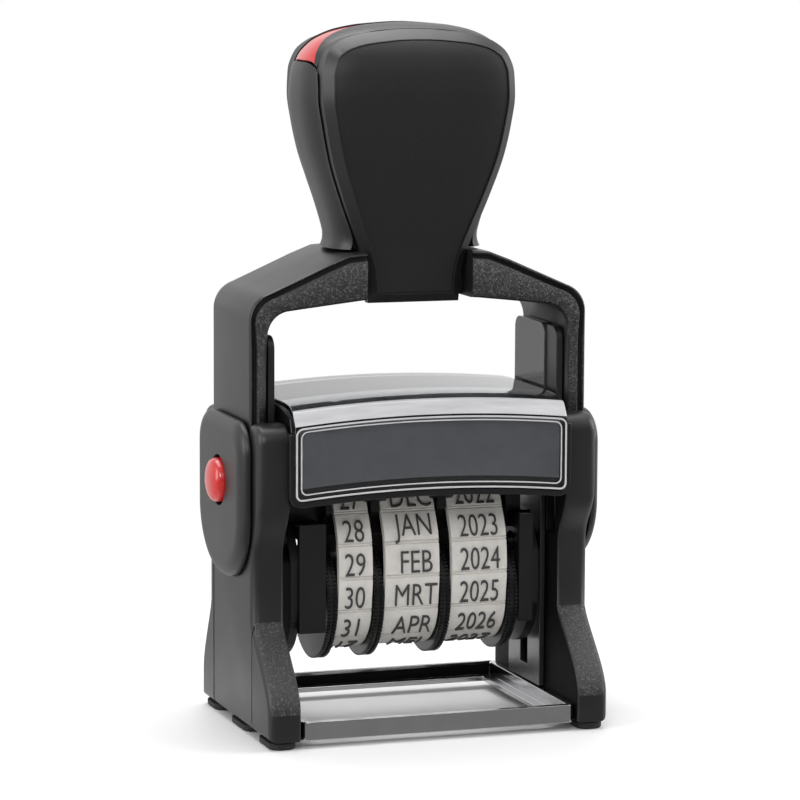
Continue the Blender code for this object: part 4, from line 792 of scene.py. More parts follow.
CROWN_LOW_Z = 120 * MM
SADDLE_POWER = 2.3
SADDLE_COLUMNS = 72
MIDDLE_SHARE = 0.001
INSERT_ROWS = 14
INSERT_GAP = 0.35 * MM
INSERT_SINK = 0.3 * MM
INSERT_WALL = 1.1 * MM
BAND_WIDTH = 1.6 * MM
RIDGE_DROP = 1.0 * MM
RIDGE_DEPTH = 0.9 * MM
RECESS_DEPTH = 1.2 * MM
TOE_CLEARANCE_SHARE = 1.5
PLATE_LEVELS = 51
PLATE_SPREAD_POWER = 1.5
PLATE_BROW = ((2.9, 0.07), (1.4, 0.1))
PLATE_BROW_RISE = 0.11 * MM
LIP_WIDTH = 0.2 * MM
PANEL_SINK = 0.22 * MM
PANEL_GAP = 0.06 * MM
PANEL_WALL = 0.7 * MM
PANEL_TOP_HALF = 0.3 * MM
PANEL_COLUMNS = 28
PANEL_ROWS = 70
PANEL_SPREAD_POWER = 1.7


def plate_outline():
    """A plate seen from the front: a tongue below that widens to the rounded head."""
    half = []
    toe = TOE_CLEARANCE_SHARE * (BAND_WIDTH + LIP_WIDTH)
    for step in range(PLATE_LEVELS + 1):
        rise = PLATE_HEIGHT_SHARES[-1] * (1 - (1 - step / PLATE_LEVELS) ** PLATE_SPREAD_POWER)
        z = GRIP_FOOT_Z + rise * GRIP_HEIGHT
        if step == 0 or z > GRIP_FOOT_Z + toe:
            half.append((plate_half(z), z))
    top = half[-1][1]
    half += [(reach * MM, top + rise * MM) for reach, rise in PLATE_BROW]
    return half + [(0.0, top + PLATE_BROW_RISE)] + [(-x, z) for x, z in reversed(half)]


def face_plate(sign, word):
    """A plate on the front or rear of the grip: a ridge, a sloping band inside it and the panel's recess."""
    work = bmesh.new()
    floor = outline_face(work, plate_outline(), "XZ")
    work.normal_update()
    bmesh.ops.inset_region(work, faces=[floor], thickness=BAND_WIDTH, use_even_offset=True, use_boundary=True)
    bmesh.ops.inset_region(work, faces=[floor], thickness=LIP_WIDTH, use_even_offset=True, use_boundary=True)
    rim = [edge for edge in work.edges if edge.is_boundary]
    ridge = {vert for edge in rim for vert in edge.verts}
    inside = [vert for vert in work.verts if vert not in ridge]
    lip = list(floor.edges)
    half = sorted((vert.co.z, vert.co.x) for vert in floor.verts if vert.co.x > -SLACK)
    for vert in ridge:
        vert.co.y = max(grip_depth(vert.co.x, vert.co.z, PLATE_POWER, PLATE_STAND_OUT) - RIDGE_DROP,
                        PLATE_BACK_Y + RIDGE_DEPTH)
    for vert in inside:
        vert.co.y = grip_depth(vert.co.x, vert.co.z, PLATE_POWER, PLATE_STAND_OUT)
    work.faces.remove(floor)
    outer = bmesh.ops.extrude_edge_only(work, edges=rim)["geom"]
    for vert in [item for item in outer if isinstance(item, bmesh.types.BMVert)]:
        vert.co.y = PLATE_BACK_Y
    inner = bmesh.ops.extrude_edge_only(work, edges=lip)["geom"]
    for vert in [item for item in inner if isinstance(item, bmesh.types.BMVert)]:
        vert.co.y = max(vert.co.y - RECESS_DEPTH, PLATE_BACK_Y)
    loops = [item for item in outer + inner if isinstance(item, bmesh.types.BMEdge) and item.is_boundary]
    bmesh.ops.bridge_loops(work, edges=loops)
    hood(work)
    for vert in work.verts:
        vert.co.y *= sign
    plate = piece(work, word + "_face_plate", "yoke_and_grip", [SATIN], [f"grip_{word}_plate"],
                  smooth=24.0)
    label_panel(sign, word, half)
    return plate


def hood(work):
    """The plate's upper edge, drawn back over the crown to the red insert."""
    made = bmesh.ops.create_grid(work, x_segments=SADDLE_COLUMNS, y_segments=HOOD_ROWS, size=1.0)["verts"]
    for vert in made:
        along, share = vert.co.x, (vert.co.y + 1) / 2
        back = HOOD_BACK_Y + (PLATE_BACK_Y - HOOD_BACK_Y) * along ** 2
        vert.co = crown_spot(along, HOOD_FRONT_Y + (back - HOOD_FRONT_Y) * share)
    faces = list({face for vert in made for face in vert.link_faces})
    turn_faces(work, faces, Vector((0, 0, 1)))
    bmesh.ops.solidify(work, geom=faces, thickness=HOOD_WALL)


HOOD_BACK_Y = 1.5 * MM
HOOD_FRONT_Y = 7.1 * MM
HOOD_WALL = 0.8 * MM
HOOD_ROWS = 9


def label_panel(sign, word, half):
    """The bare panel in a plate's recess, curved with the grip."""
    places, levels = [z for z, _ in half], [x for _, x in half]

    def reach(z):
        index = max(step for step in range(len(places) - 1) if places[step] <= z)
        share = (z - places[index]) / max(places[index + 1] - places[index], SLACK / 10)
        return levels[index] + (levels[index + 1] - levels[index]) * share

    work = bmesh.new()
    low, high = places[0] + PANEL_GAP, places[-1] - PANEL_GAP
    grid = bmesh.ops.create_grid(work, x_segments=PANEL_COLUMNS, y_segments=PANEL_ROWS, size=1.0)["verts"]
    for vert in grid:
        z = low + (high - low) * (1 - ((1 - vert.co.y) / 2) ** PANEL_SPREAD_POWER)
        x = vert.co.x * max(reach(z) - PANEL_GAP, PANEL_TOP_HALF)
        y = grip_depth(x, z, PLATE_POWER, PLATE_STAND_OUT) - PANEL_SINK
        vert.co = (x, sign * y, z)
    turn_faces(work, work.faces[:], Vector((0, sign, 0)))
    bmesh.ops.solidify(work, geom=work.faces, thickness=PANEL_WALL)
    return piece(work, word + "_panel", "yoke_and_grip", [PANEL], [word + "_label_panel"],
                 edge=0.12 * MM, smooth=50.0)


# Yoke and arms
LEG_OUTER_X = 32.5 * MM
LEG_INNER_X = 28.9 * MM
LEG_HALF_DEPTH = 12.2 * MM
LEG_END_Z = 50 * MM
LEG_LEVELS = (LEG_END_Z, 58 * MM, 66 * MM, 72 * MM)
YOKE_CORNER = (27.3 * MM, 76.5 * MM)
YOKE_CORNER_RADIUS = 5.2 * MM
YOKE_CORNER_SWEEP = math.radians(72)
ARCH_CORNER = (24.5 * MM, 73.6 * MM)
ARCH_RADIUS = 4.4 * MM
ARCH_SWEEP = math.radians(80)
ARCH_CROWN = (12 * MM, 79.4 * MM)
BEAM_FOOT = (17.6 * MM, 86.4 * MM)
BEAM_STEPS = 6
ARCH_SHARE = 0.75
NECK_TOP = (13.6 * MM, 87.95 * MM)
NECK_UNDER = (11.5 * MM, 79.45 * MM)
NECK_UNDER_Z = 79.55 * MM
NECK_SHARES = (0.35, 0.7, 1.0)
NECK_WALL_X = 10.15 * MM
WEB_HALF_DEPTH = 6.04 * MM
CORNER_STEPS = 14
SLOPE_TOP_Z = 75 * MM
SLOPE_RUN = 5 * MM
SLOPE_DROP = 0.95
OUTER_EDGE = ((0.0, 0.9), (0.06, 0.35), (0.3, 0.1), (0.5, 0.3), (0.66, 0.75), (0.95, 0.95), (1.25, 0.75),
              (1.42, 0.2), (1.75, 0.0))
INNER_EDGE = ((0.75, 0.0), (0.3, 0.25), (0.06, 0.65), (0.0, 1.2))
GRAIN_FACING = 0.7
GRAIN_SINK = 0.62 * MM


def turn(centre, radius, angle):
    """The place on a circle at an angle."""
    return (centre[0] + radius * math.cos(angle), centre[1] + radius * math.sin(angle))


def mix(first, second, share):
    """The place a share of the way from the first to the second."""
    return tuple(a + (b - a) * share for a, b in zip(first, second))


def yoke_stations():
    """Pairs of places, outside and inside, up one half of the yoke from its leg to the neck."""
    stations = [((LEG_OUTER_X, z), (LEG_INNER_X, z)) for z in LEG_LEVELS]
    for step in range(CORNER_STEPS + 1):
        share = step / CORNER_STEPS
        stations.append((turn(YOKE_CORNER, YOKE_CORNER_RADIUS, YOKE_CORNER_SWEEP * share),
                         turn(ARCH_CORNER, ARCH_RADIUS, ARCH_SWEEP * share)))
    outer, inner = stations[-1]
    for step in range(1, BEAM_STEPS + 1):
        share = step / BEAM_STEPS
        stations.append((mix(outer, BEAM_FOOT, share), mix(inner, ARCH_CROWN, ARCH_SHARE * share)))
    inner = stations[-1][1]
    for share in NECK_SHARES:
        stations.append((mix(BEAM_FOOT, NECK_TOP, share), mix(inner, NECK_UNDER, share)))
    stations.append(((NECK_WALL_X, YOKE_TOP_Z), (NECK_WALL_X, NECK_UNDER_Z)))
    return stations


def yoke_section(outer, inner, half_depth, side):
    """A ring round the yoke: rounded corners, a cove and a bead along the outer edges front and rear."""
    width = math.dist(outer, inner)
    slope = SLOPE_DROP * min(max((SLOPE_TOP_Z - inner[1]) / SLOPE_RUN, 0.0), 1.0)
    front = [(reach * MM, -half_depth + drop * MM) for reach, drop in OUTER_EDGE]
    front += [(width - reach * MM, -half_depth + (drop + slope) * MM) for reach, drop in INNER_EDGE]
    places = []
    for reach, y in front + [(reach, -y) for reach, y in reversed(front)]:
        x, z = mix(outer, inner, reach / width)
        places.append((side * x, y, z))
    return places


def yoke():
    """The U-shaped yoke in one skin, grained on its front and rear faces."""
    work = bmesh.new()
    stations = yoke_stations()
    rings = [yoke_section(outer, inner, LEG_HALF_DEPTH, -1) for outer, inner in stations]
    rings += [yoke_section(*stations[-1], WEB_HALF_DEPTH, side) for side in (-1, 1)]
    rings += [yoke_section(outer, inner, LEG_HALF_DEPTH, 1) for outer, inner in reversed(stations)]
    drawn_skin(work, rings)

    def choose(face):
        outside = abs(face.calc_center_median().y) > LEG_HALF_DEPTH - GRAIN_SINK
        return 1 if outside and abs(face.normal.y) > GRAIN_FACING else 0

    return piece(work, "yoke_bow", "yoke_and_grip", [SATIN, GRAINED], ["yoke"], smooth=44.0,
                 choose=choose)


ARM_INNER_X = 27.0 * MM
ARM_OUTER_X = 28.6 * MM
ARM_HEAD_HALF = 10.6 * MM
ARM_NARROW_HALF = 7.04 * MM
ARM_HEAD_Z = 49.4 * MM
ARM_TOP_Z = 73.6 * MM
ARM_END_Z = 25 * MM
ARM_SPLIT_Y = -5.2 * MM
ARM_SHOULDER = 2.2 * MM
RIB_SHOULDER = 2.4 * MM
RIB_GAP = 0.25 * MM
RIB_DROP = 0.2 * MM
RIB_SINK = 0.35 * MM


def sliding_arm(side, word):
    """A flat arm: a polished plate with rounded shoulders and a darker rib along its front."""
    work = bmesh.new()
    outline = [(-ARM_NARROW_HALF, ARM_END_Z), (ARM_NARROW_HALF, ARM_END_Z), (ARM_NARROW_HALF, ARM_HEAD_Z),
               (ARM_HEAD_HALF, ARM_HEAD_Z), (ARM_HEAD_HALF, ARM_TOP_Z), (ARM_SPLIT_Y, ARM_TOP_Z),
               (ARM_SPLIT_Y, ARM_HEAD_Z), (-ARM_NARROW_HALF, ARM_HEAD_Z)]
    flat = outline_face(work, outline, "YZ", side * ARM_INNER_X)
    round_corners(work, [vert for vert in flat.verts if vert.co.z > ARM_TOP_Z - SLACK], ARM_SHOULDER)
    thicken(work, work.faces[:], (side * (ARM_OUTER_X - ARM_INNER_X), 0, 0))
    rib_back, rib_top = ARM_SPLIT_Y - RIB_GAP, ARM_TOP_Z - RIB_DROP
    rib = outline_face(work, [(-ARM_HEAD_HALF, ARM_HEAD_Z), (rib_back, ARM_HEAD_Z), (rib_back, rib_top),
                              (-ARM_HEAD_HALF, rib_top)], "YZ", side * (ARM_INNER_X + RIB_SINK))
    round_corners(work, [min(rib.verts, key=lambda vert: vert.co.y - vert.co.z)], RIB_SHOULDER)
    rib = next(face for face in work.faces
               if abs(face.calc_center_median().x) < ARM_INNER_X + RIB_SINK + 5 * SLACK
               and face.calc_center_median().y < ARM_SPLIT_Y - 2 * RIB_GAP)
    thicken(work, [rib], (side * (ARM_OUTER_X - ARM_INNER_X - RIB_SINK), 0, 0))

    def choose(face):
        return 1 if face.calc_center_median().y < rib_back + 5 * SLACK else 0

    return piece(work, word + "_arm", "yoke_and_grip", [POLISHED, SATIN], [word + "_sliding_arm"],
                 edge=0.15 * MM, choose=choose)


# Side housings, shields and buttons
HOUSING_INNER_X = 26.7 * MM
HOUSING_OUTER_X = 32.7 * MM
BODY_HALF_DEPTH = 14 * MM
HOUSING_TOP_Z = 58 * MM
SHOULDER_OUT_Y = 18.2 * MM
SHOULDER_HIGH_Z = 43.5 * MM
SHOULDER_LOW_Z = 33.5 * MM
SHOULDER_ROUNDING = 3.4 * MM
FLARE_TOP_Z = 21.5 * MM
FLARE_END_Z = 6.5 * MM
FRONT_FLARE = 11.2 * MM
REAR_FLARE = 5.5 * MM
BODY_FLOOR_Z = 1.5 * MM
POCKET_HALF = 12.6 * MM
POCKET_FLOOR_Z = 34.7 * MM
ARM_SLOT_HALF = 7.34 * MM
ARM_SLOT_FLOOR_Z = 9.7 * MM
WELL_LOW = (28.2 * MM, 8.3 * MM, 4.3 * MM)
WELL_HIGH = (32.0 * MM, 12.25 * MM, 36 * MM)
OVERRUN = 2 * MM
FLARE_POWER = 1.25
OUTER_ROUNDING = 1.5 * MM
INNER_ROUNDING = 0.5 * MM
GROOVE_DEPTH = 0.55 * MM
REAR_GROOVE = (10.75 * MM, 11.35 * MM)
FRONT_GROOVE = (-14.15 * MM, -13.75 * MM)
GRAIN_LOW_Z = 5 * MM
GRAIN_HIGH_Z = 24 * MM
LEDGE_WIDTH = 4 * MM


def sides(side, near, far):
    """The low and high X of a span on one side of the stamp."""
    return tuple(sorted((side * near, side * far)))


def temporary(work):
    """An object for a moment, from a mesh that is used up."""
    mesh = bpy.data.meshes.new("blank")
    work.to_mesh(mesh)
    work.free()
    return shown("blank", mesh)


def carved(work, cutters):
    """A solid with other solids taken out of it."""
    bmesh.ops.recalc_face_normals(work, faces=work.faces)
    blank = temporary(work)
    tools = []
    for cutter in cutters:
        bmesh.ops.recalc_face_normals(cutter, faces=cutter.faces)
        tools.append(temporary(cutter))
        taking = blank.modifiers.new("taking", "BOOLEAN")
        taking.operation = "DIFFERENCE"
        taking.solver = "EXACT"
        taking.object = tools[-1]
    bpy.context.view_layer.update()
    result = bmesh.new()
    result.from_mesh(blank.evaluated_get(bpy.context.evaluated_depsgraph_get()).to_mesh())
    for tool in [blank] + tools:
        spare = tool.data
        bpy.data.objects.remove(tool)
        bpy.data.meshes.remove(spare)
    return result


def block(low, high):
    """A block on its own, to cut with."""
    work = bmesh.new()
    box_solid(work, low, high)
    return work


def bore(centre, radius, low_x, high_x):
    """A rod on its own, to cut with."""
    work = bmesh.new()
    rod_solid(work, centre, radius, low_x, high_x, 64)
    return work


def housing_edge(sign, flare):
    """One edge of a housing seen from the side, from the top down: shoulder, leg and flared foot."""
    centre = (SHOULDER_OUT_Y - SHOULDER_ROUNDING, HOUSING_TOP_Z - SHOULDER_ROUNDING)
    points = [turn(centre, SHOULDER_ROUNDING, math.radians(90 - 10 * step)) for step in range(10)]
    for share in [step / 12 for step in range(13)]:
        swell = (1 + math.cos(math.pi * share)) / 2
        points.append((BODY_HALF_DEPTH + (SHOULDER_OUT_Y - BODY_HALF_DEPTH) * swell,
                       SHOULDER_HIGH_Z + (SHOULDER_LOW_Z - SHOULDER_HIGH_Z) * share))
    for share in [step / 18 for step in range(19)]:
        points.append((BODY_HALF_DEPTH + flare * math.sin(math.pi / 2 * share ** FLARE_POWER),
                       FLARE_TOP_Z + (FLARE_END_Z - FLARE_TOP_Z) * share))
    points.append((BODY_HALF_DEPTH + flare, BODY_FLOOR_Z))
    return [(sign * y, z) for y, z in points]


def side_housing(side, word):
    """A housing with a pocket for the yoke's leg, a slot for the arm, the spring's well and two grooves."""
    work = bmesh.new()
    outline = housing_edge(-1, FRONT_FLARE) + housing_edge(1, REAR_FLARE)[::-1]
    wall = outline_face(work, outline, "YZ", side * HOUSING_INNER_X)
    thicken(work, [wall], (side * (HOUSING_OUTER_X - HOUSING_INNER_X), 0, 0))
    for level, width in ((HOUSING_OUTER_X, OUTER_ROUNDING), (HOUSING_INNER_X, INNER_ROUNDING)):
        rim = [edge for edge in sharp_edges(work, 60)
               if all(abs(abs(vert.co.x) - level) < SLACK for vert in edge.verts)
               and min(vert.co.z for vert in edge.verts) > BODY_FLOOR_Z - SLACK]
        round_edges(work, rim, width, 5)
    inside, outside = HOUSING_INNER_X - OVERRUN, HOUSING_OUTER_X + OVERRUN
    cutters = []
    for near, far, (low_y, high_y), low_z, high_z in (
            (inside, outside, (-POCKET_HALF, POCKET_HALF), POCKET_FLOOR_Z, HOUSING_TOP_Z + OVERRUN),
            (inside, ARM_OUTER_X + PART_GAP, (-ARM_SLOT_HALF, ARM_SLOT_HALF), ARM_SLOT_FLOOR_Z,
             POCKET_FLOOR_Z + OVERRUN),
            (WELL_LOW[0], WELL_HIGH[0], (WELL_LOW[1], WELL_HIGH[1]), WELL_LOW[2], WELL_HIGH[2]),
            (HOUSING_OUTER_X - GROOVE_DEPTH, outside, REAR_GROOVE, -OVERRUN, POCKET_FLOOR_Z - OVERRUN),
            (HOUSING_OUTER_X - GROOVE_DEPTH, outside, FRONT_GROOVE, -OVERRUN, FLARE_TOP_Z)):
        low_x, high_x = sides(side, near, far)
        cutters.append(block((low_x, low_y, low_z), (high_x, high_y, high_z)))
    work = carved(work, cutters)

    def choose(face):
        middle = face.calc_center_median()
        inner_wall = face.normal.x * side < -0.9
        ledge = (abs(middle.x) < HOUSING_INNER_X + LEDGE_WIDTH and abs(middle.y) < POCKET_HALF + 5 * SLACK
                 and middle.z < HOUSING_TOP_Z - 10 * SLACK and abs(face.normal.x) < 0.5 < face.normal.z
                 and abs(face.normal.y) < 0.95)
        # Inner walls and the ledge by the pocket take the dark, dull finish as painted shade between the
        # parts.
        if inner_wall or ledge:
            return 2
        front = face.normal.y < -0.35 and abs(face.normal.x) < 0.5
        return 1 if front and GRAIN_LOW_Z < middle.z < GRAIN_HIGH_Z else 0

    return piece(work, word + "_housing", "stamp_base", [SATIN, GRAINED, PAINTED_SHADE], [word + "_side_housing"],
                 edge=0.12 * MM, choose=choose)


SHIELD_INNER_X = 33.0 * MM
SHIELD_OUTER_X = 35.1 * MM
SHIELD_HALF_DEPTH = 14.6 * MM
SHIELD_SHOULDER_Z = 41 * MM
SHIELD_LOW_Z = 28.2 * MM
SHIELD_CORNER = 6 * MM
SHIELD_TIP_HALF = 1.2 * MM
SHIELD_WALL = 0.35 * MM
SHIELD_ROLL = 3.2 * MM
SHIELD_STEPS = 12
BUTTON_Z = 46 * MM
BUTTON_HOLE_RADIUS = 4.7 * MM
BUTTON_LOW_X = 34.1 * MM
BUTTON_DOME = ((0.0, 3.0), (1.2, 2.96), (2.3, 2.82), (3.1, 2.58), (3.65, 2.25), (3.95, 1.85), (4.1, 1.4),
               (4.1, 0.0), (0.0, 0.0))


def side_shield(side, word):
    """A crowned shield with a soft rim, a round tip below and the button's hole."""
    corner = (SHIELD_HALF_DEPTH - SHIELD_CORNER, HOUSING_TOP_Z - SHIELD_CORNER)
    half = [turn(corner, SHIELD_CORNER, math.radians(90 - 9 * step)) for step in range(11)]
    for step in range(1, 25):
        angle = math.pi / 2 * step / 24
        half.append((SHIELD_TIP_HALF + (SHIELD_HALF_DEPTH - SHIELD_TIP_HALF) * math.cos(angle),
                     SHIELD_SHOULDER_Z - (SHIELD_SHOULDER_Z - SHIELD_LOW_Z) * math.sin(angle)))
    work = bmesh.new()
    back = outline_face(work, half + [(-y, z) for y, z in reversed(half)], "YZ", side * SHIELD_INNER_X)
    face = thicken(work, [back], (side * SHIELD_WALL, 0, 0))[0]
    roll = SHIELD_OUTER_X - SHIELD_INNER_X - SHIELD_WALL
    for step in range(1, SHIELD_STEPS + 1):
        angle, before = math.pi / 2 * step / SHIELD_STEPS, math.pi / 2 * (step - 1) / SHIELD_STEPS
        bmesh.ops.inset_region(work, faces=[face], use_even_offset=True, use_boundary=True,
                               thickness=SHIELD_ROLL * (math.cos(before) - math.cos(angle)))
        for vert in face.verts:
            vert.co.x = side * (SHIELD_INNER_X + SHIELD_WALL + roll * math.sin(angle))
    low_x, high_x = sides(side, SHIELD_INNER_X - OVERRUN, SHIELD_OUTER_X + OVERRUN)
    work = carved(work, [bore((0, BUTTON_Z), BUTTON_HOLE_RADIUS, low_x, high_x)])
    return piece(work, word + "_shield", "stamp_base", [SATIN], [word + "_side_shield"],
                 edge=0.16 * MM, smooth=42.0)


def lock_button(side, word):
    """A turned cap with a soft shoulder and a low dome."""
    work = bmesh.new()
    verts = [work.verts.new((side * (BUTTON_LOW_X + rise * MM), 0, BUTTON_Z + reach * MM))
             for reach, rise in BUTTON_DOME]
    edges = [work.edges.new(pair) for pair in zip(verts, verts[1:])]
    bmesh.ops.spin(work, geom=verts + edges, cent=(0, 0, BUTTON_Z), axis=(1, 0, 0), angle=2 * math.pi,
                   steps=72, use_merge=True)
    return piece(work, word + "_button_cap", word + "_button", [RED], [word + "_lock_button"],
                 smooth=50.0)


# Feet and base frame
def upright_edges(work):
    """The edges of a block that run up and down."""
    return [edge for edge in work.edges if abs(edge.verts[0].co.z - edge.verts[1].co.z) > 0.5 * MM]


def rubber_feet():
    """Low rounded pads under the legs, each in place of its plain block."""
    for node in [f"{word}_{place}_foot" for _, word in BOTH_SIDES for place in ("front", "middle", "rear")]:
        work = bmesh.new()
        box_solid(work, *own_box(node))
        round_edges(work, upright_edges(work), FOOT_CORNER, 8)
        under = [edge for edge in sharp_edges(work) if max(vert.co.z for vert in edge.verts) < SLACK]
        round_edges(work, under, FOOT_ROLL, 4)
        piece(work, node + "_pad", "stamp_base", [RUBBER], [node])


FOOT_CORNER = 2.1 * MM
FOOT_ROLL = 0.45 * MM


def frame_rails():
    """The plated frame under the legs: rolled rails, a rounded rear one painted dark inside as shade, and a
    flange.
    """
    low, high = own_box("base_frame")
    work = bmesh.new()
    box_solid(work, low, high)
    round_edges(work, upright_edges(work), RAIL_CORNER, 6)
    cutters = []
    for inset, floor in ((RAIL_WALL, low.z + FLANGE_RISE), (FLANGE_REACH, -OVERRUN)):
        cutters.append(block((low.x + inset, low.y + inset, floor),
                             (high.x - inset, high.y - inset, high.z + OVERRUN)))
    work = carved(work, cutters)
    inner_y = high.y - RAIL_WALL
    brow = [edge for edge in work.edges
            if all(abs(vert.co.y - inner_y) < 2 * SLACK and abs(vert.co.z - high.z) < 2 * SLACK
                   for vert in edge.verts)]
    round_edges(work, brow, BROW_ROLL, 6)

    def choose(face):
        middle = face.calc_center_median()
        inside = abs(middle.x) < high.x - RAIL_WALL + 5 * SLACK and middle.y > inner_y - 5 * SLACK
        # The rear rail's inner face takes the dark, dull finish as painted shade.
        return 1 if inside and face.normal.y < -0.96 and middle.z > low.z + FLANGE_RISE / 2 else 0

    return piece(work, "frame_rails", "stamp_base", [PLATED, PAINTED_SHADE], ["base_frame"], edge=0.3 * MM,
                 segments=4, smooth=40.0, choose=choose)


RAIL_CORNER = 1.6 * MM
RAIL_WALL = 1.4 * MM
FLANGE_RISE = 0.9 * MM
FLANGE_REACH = 3.4 * MM
BROW_ROLL = 1.1 * MM


def rolled_edges():
    """Sheet and moulded parts that keep their CAD shape get softly rolled edges."""
    for node, width in ROLLED_WIDTHS.items():
        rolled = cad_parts[node].modifiers.new("rolled", "BEVEL")
        rolled.width = width
        rolled.segments = 2
        rolled.limit_method = "ANGLE"
        rolled.angle_limit = math.radians(40)
        rolled.harden_normals = True


ROLLED_WIDTHS = {"left_guide_plate": 0.12 * MM, "right_guide_plate": 0.12 * MM, "pad_tray": 0.25 * MM,
                 "die_frame": 0.14 * MM, "pad_chamber": 0.3 * MM}


# Cover and card
COVER_HALF_WIDTH = 26.2 * MM
COVER_FRONT_Y = 19.6 * MM
COVER_LOW_Z = 44.1 * MM
COVER_BEVEL_Z = 57.9 * MM
COVER_EDGE_Y = 17.9 * MM
COVER_EDGE_Z = 60.3 * MM
COVER_CROWN_RISE = 1.25 * MM
COVER_BARREL = 1.4 * MM
COVER_WALL = 0.9 * MM
COVER_STATIONS = 48
ROOF_STEPS = 20
ROOF_SPREAD_POWER = 0.6
ROOF_POWER = 8
BEVEL_INSET_SHARE = 0.4
ROOF_INSET_SHARE = 0.7
REAR_LIP_DROP = 1.0 * MM


def barrel(x):
    """How much the cover rises towards its middle."""
    return COVER_BARREL * (1 - (x / COVER_HALF_WIDTH) ** 2)


def cover_line(inset):
    """The cover's outline seen from the side: front face, bevel, domed roof and the short rear lip."""
    front = COVER_FRONT_Y - inset
    bevel = COVER_BEVEL_Z - BEVEL_INSET_SHARE * inset
    line = [(-front, COVER_LOW_Z), (-front, bevel)]
    for step in range(-ROOF_STEPS, ROOF_STEPS + 1):
        share = math.copysign(abs(step / ROOF_STEPS) ** ROOF_SPREAD_POWER, step)
        line.append((share * (COVER_EDGE_Y - inset * ROOF_INSET_SHARE),
                     COVER_EDGE_Z - inset + COVER_CROWN_RISE * (1 - abs(share) ** ROOF_POWER)))
    return line + [(front, bevel), (front, COVER_BEVEL_Z - REAR_LIP_DROP)]


def clear_shell():
    """The see-through cover, bent in a barrel across the stamp, with rolled edges."""
    work = bmesh.new()
    ring = cover_line(0) + cover_line(COVER_WALL)[::-1]
    rings = []
    for step in range(COVER_STATIONS + 1):
        x = COVER_HALF_WIDTH * (2 * step / COVER_STATIONS - 1)
        rings.append([(x, y, z + barrel(x)) for y, z in ring])
    drawn_skin(work, rings)

    def choose(face):
        in_front = face.calc_center_median().y < -COVER_EDGE_Y + PART_GAP
        # The sloping front band takes the light edge finish as a painted highlight.
        return 1 if in_front and 0.3 < face.normal.z < 0.9 and face.normal.y < -0.4 else 0

    piece(work, "clear_shell", "stamp_base", [CLEAR, EDGE_HIGHLIGHT], ["clear_cover"], edge=0.3 * MM,
          segments=4, smooth=24.0, choose=choose)


def rim_bead(work, inset, width, stand_out, foot, head):
    """A thin bead round the cover's front face, a given way in from its edge and bent with it."""
    half = COVER_HALF_WIDTH - inset
    far, low, high = half - RIM_CORNER, foot + RIM_CORNER, head - RIM_CORNER
    run = [half * share / 10 for share in range(-9, 10)]
    path = []
    for centre, start, straight in (((-far, high), 90, []), ((-far, low), 180, [(x, foot) for x in run]),
                                    ((far, low), 270, []), ((far, high), 0, [(-x, head) for x in run])):
        path += [turn(centre, RIM_CORNER, math.radians(start + 15 * step)) for step in range(7)] + straight
    middle = Vector((0, (foot + head) / 2))
    outer, inner = [], []
    for here, before, after in zip(path, path[-1:] + path[:-1], path[1:] + path[:1]):
        run = (Vector(after) - Vector(before)).normalized()
        inward = Vector((-run.y, run.x))
        if inward.dot(middle - Vector(here)) < 0:
            inward = -inward
        for ring, shift in ((outer, 0.0), (inner, width)):
            spot = Vector(here) + inward * shift
            ring.append((spot.x, -COVER_FRONT_Y - stand_out, spot.y + barrel(spot.x)))
    loops = closed_loop(work, outer) + closed_loop(work, inner)
    made = bmesh.ops.bridge_loops(work, edges=loops)["faces"]
    thicken(work, made, (0, stand_out + RIM_ROOT, 0))


def window_rim():
    """The rims round the window as thin beads in the light edge finish: painted highlight lines where the
    polished rims catch the light.
    """
    work = bmesh.new()
    for inset, width, stand_out, lift, drop in RIMS:
        rim_bead(work, inset * MM, width * MM, stand_out * MM, COVER_LOW_Z + lift * MM,
                 COVER_BEVEL_Z - drop * MM)
    return piece(work, "window_rim", "stamp_base", [EDGE_HIGHLIGHT], (), edge=0.07 * MM)


RIM_CORNER = 1.3 * MM
RIM_ROOT = 0.05 * MM
RIMS = ((0.12, 0.34, 0.16, 0.12, 0.35), (1.05, 0.26, 0.1, 1.1, 1.0))


def cover_trim():
    """The black surround of the cover: a rounded channel down both sides and under the front face."""
    work = bmesh.new()
    corner, low = SURROUND_CORNER, COVER_LOW_Z - SURROUND_DROP
    half = COVER_HALF_WIDTH + SURROUND_OUT
    far = half - corner
    head = COVER_BEVEL_Z - SURROUND_HEAD_DROP
    path = [(-half, head)]
    path += [turn((-far, low + corner), corner, math.radians(180 + 9 * step)) for step in range(11)]
    path += [(far * share / 12, low) for share in range(-11, 12)]
    path += [turn((far, low + corner), corner, math.radians(270 + 9 * step)) for step in range(11)]
    path.append((half, head))
    back = -CHAMBER_FRONT_Y + SURROUND_ROOT
    rings = []
    for index, (x, z) in enumerate(path):
        before, after = path[max(index - 1, 0)], path[min(index + 1, len(path) - 1)]
        run = (Vector(after) - Vector(before)).normalized()
        inner_x, inner_z = x - run.y * SURROUND_WIDTH, z + run.x * SURROUND_WIDTH + barrel(x)
        outer_z = z + barrel(x)
        rings.append([(x, back, outer_z), (x, -SURROUND_FRONT_Y, outer_z),
                      (inner_x, -SURROUND_FRONT_Y, inner_z), (inner_x, back, inner_z)])
    drawn_skin(work, rings)
    return piece(work, "cover_surround", "stamp_base", [DEEP], (), edge=0.3 * MM, segments=3)


SURROUND_OUT = 1.0 * MM
SURROUND_DROP = 1.25 * MM
SURROUND_CORNER = 2.8 * MM
SURROUND_WIDTH = 1.2 * MM
SURROUND_HEAD_DROP = 1.2 * MM
SURROUND_ROOT = 0.6 * MM
SURROUND_FRONT_Y = 19.3 * MM
CHAMBER_FRONT_Y = 17.7 * MM


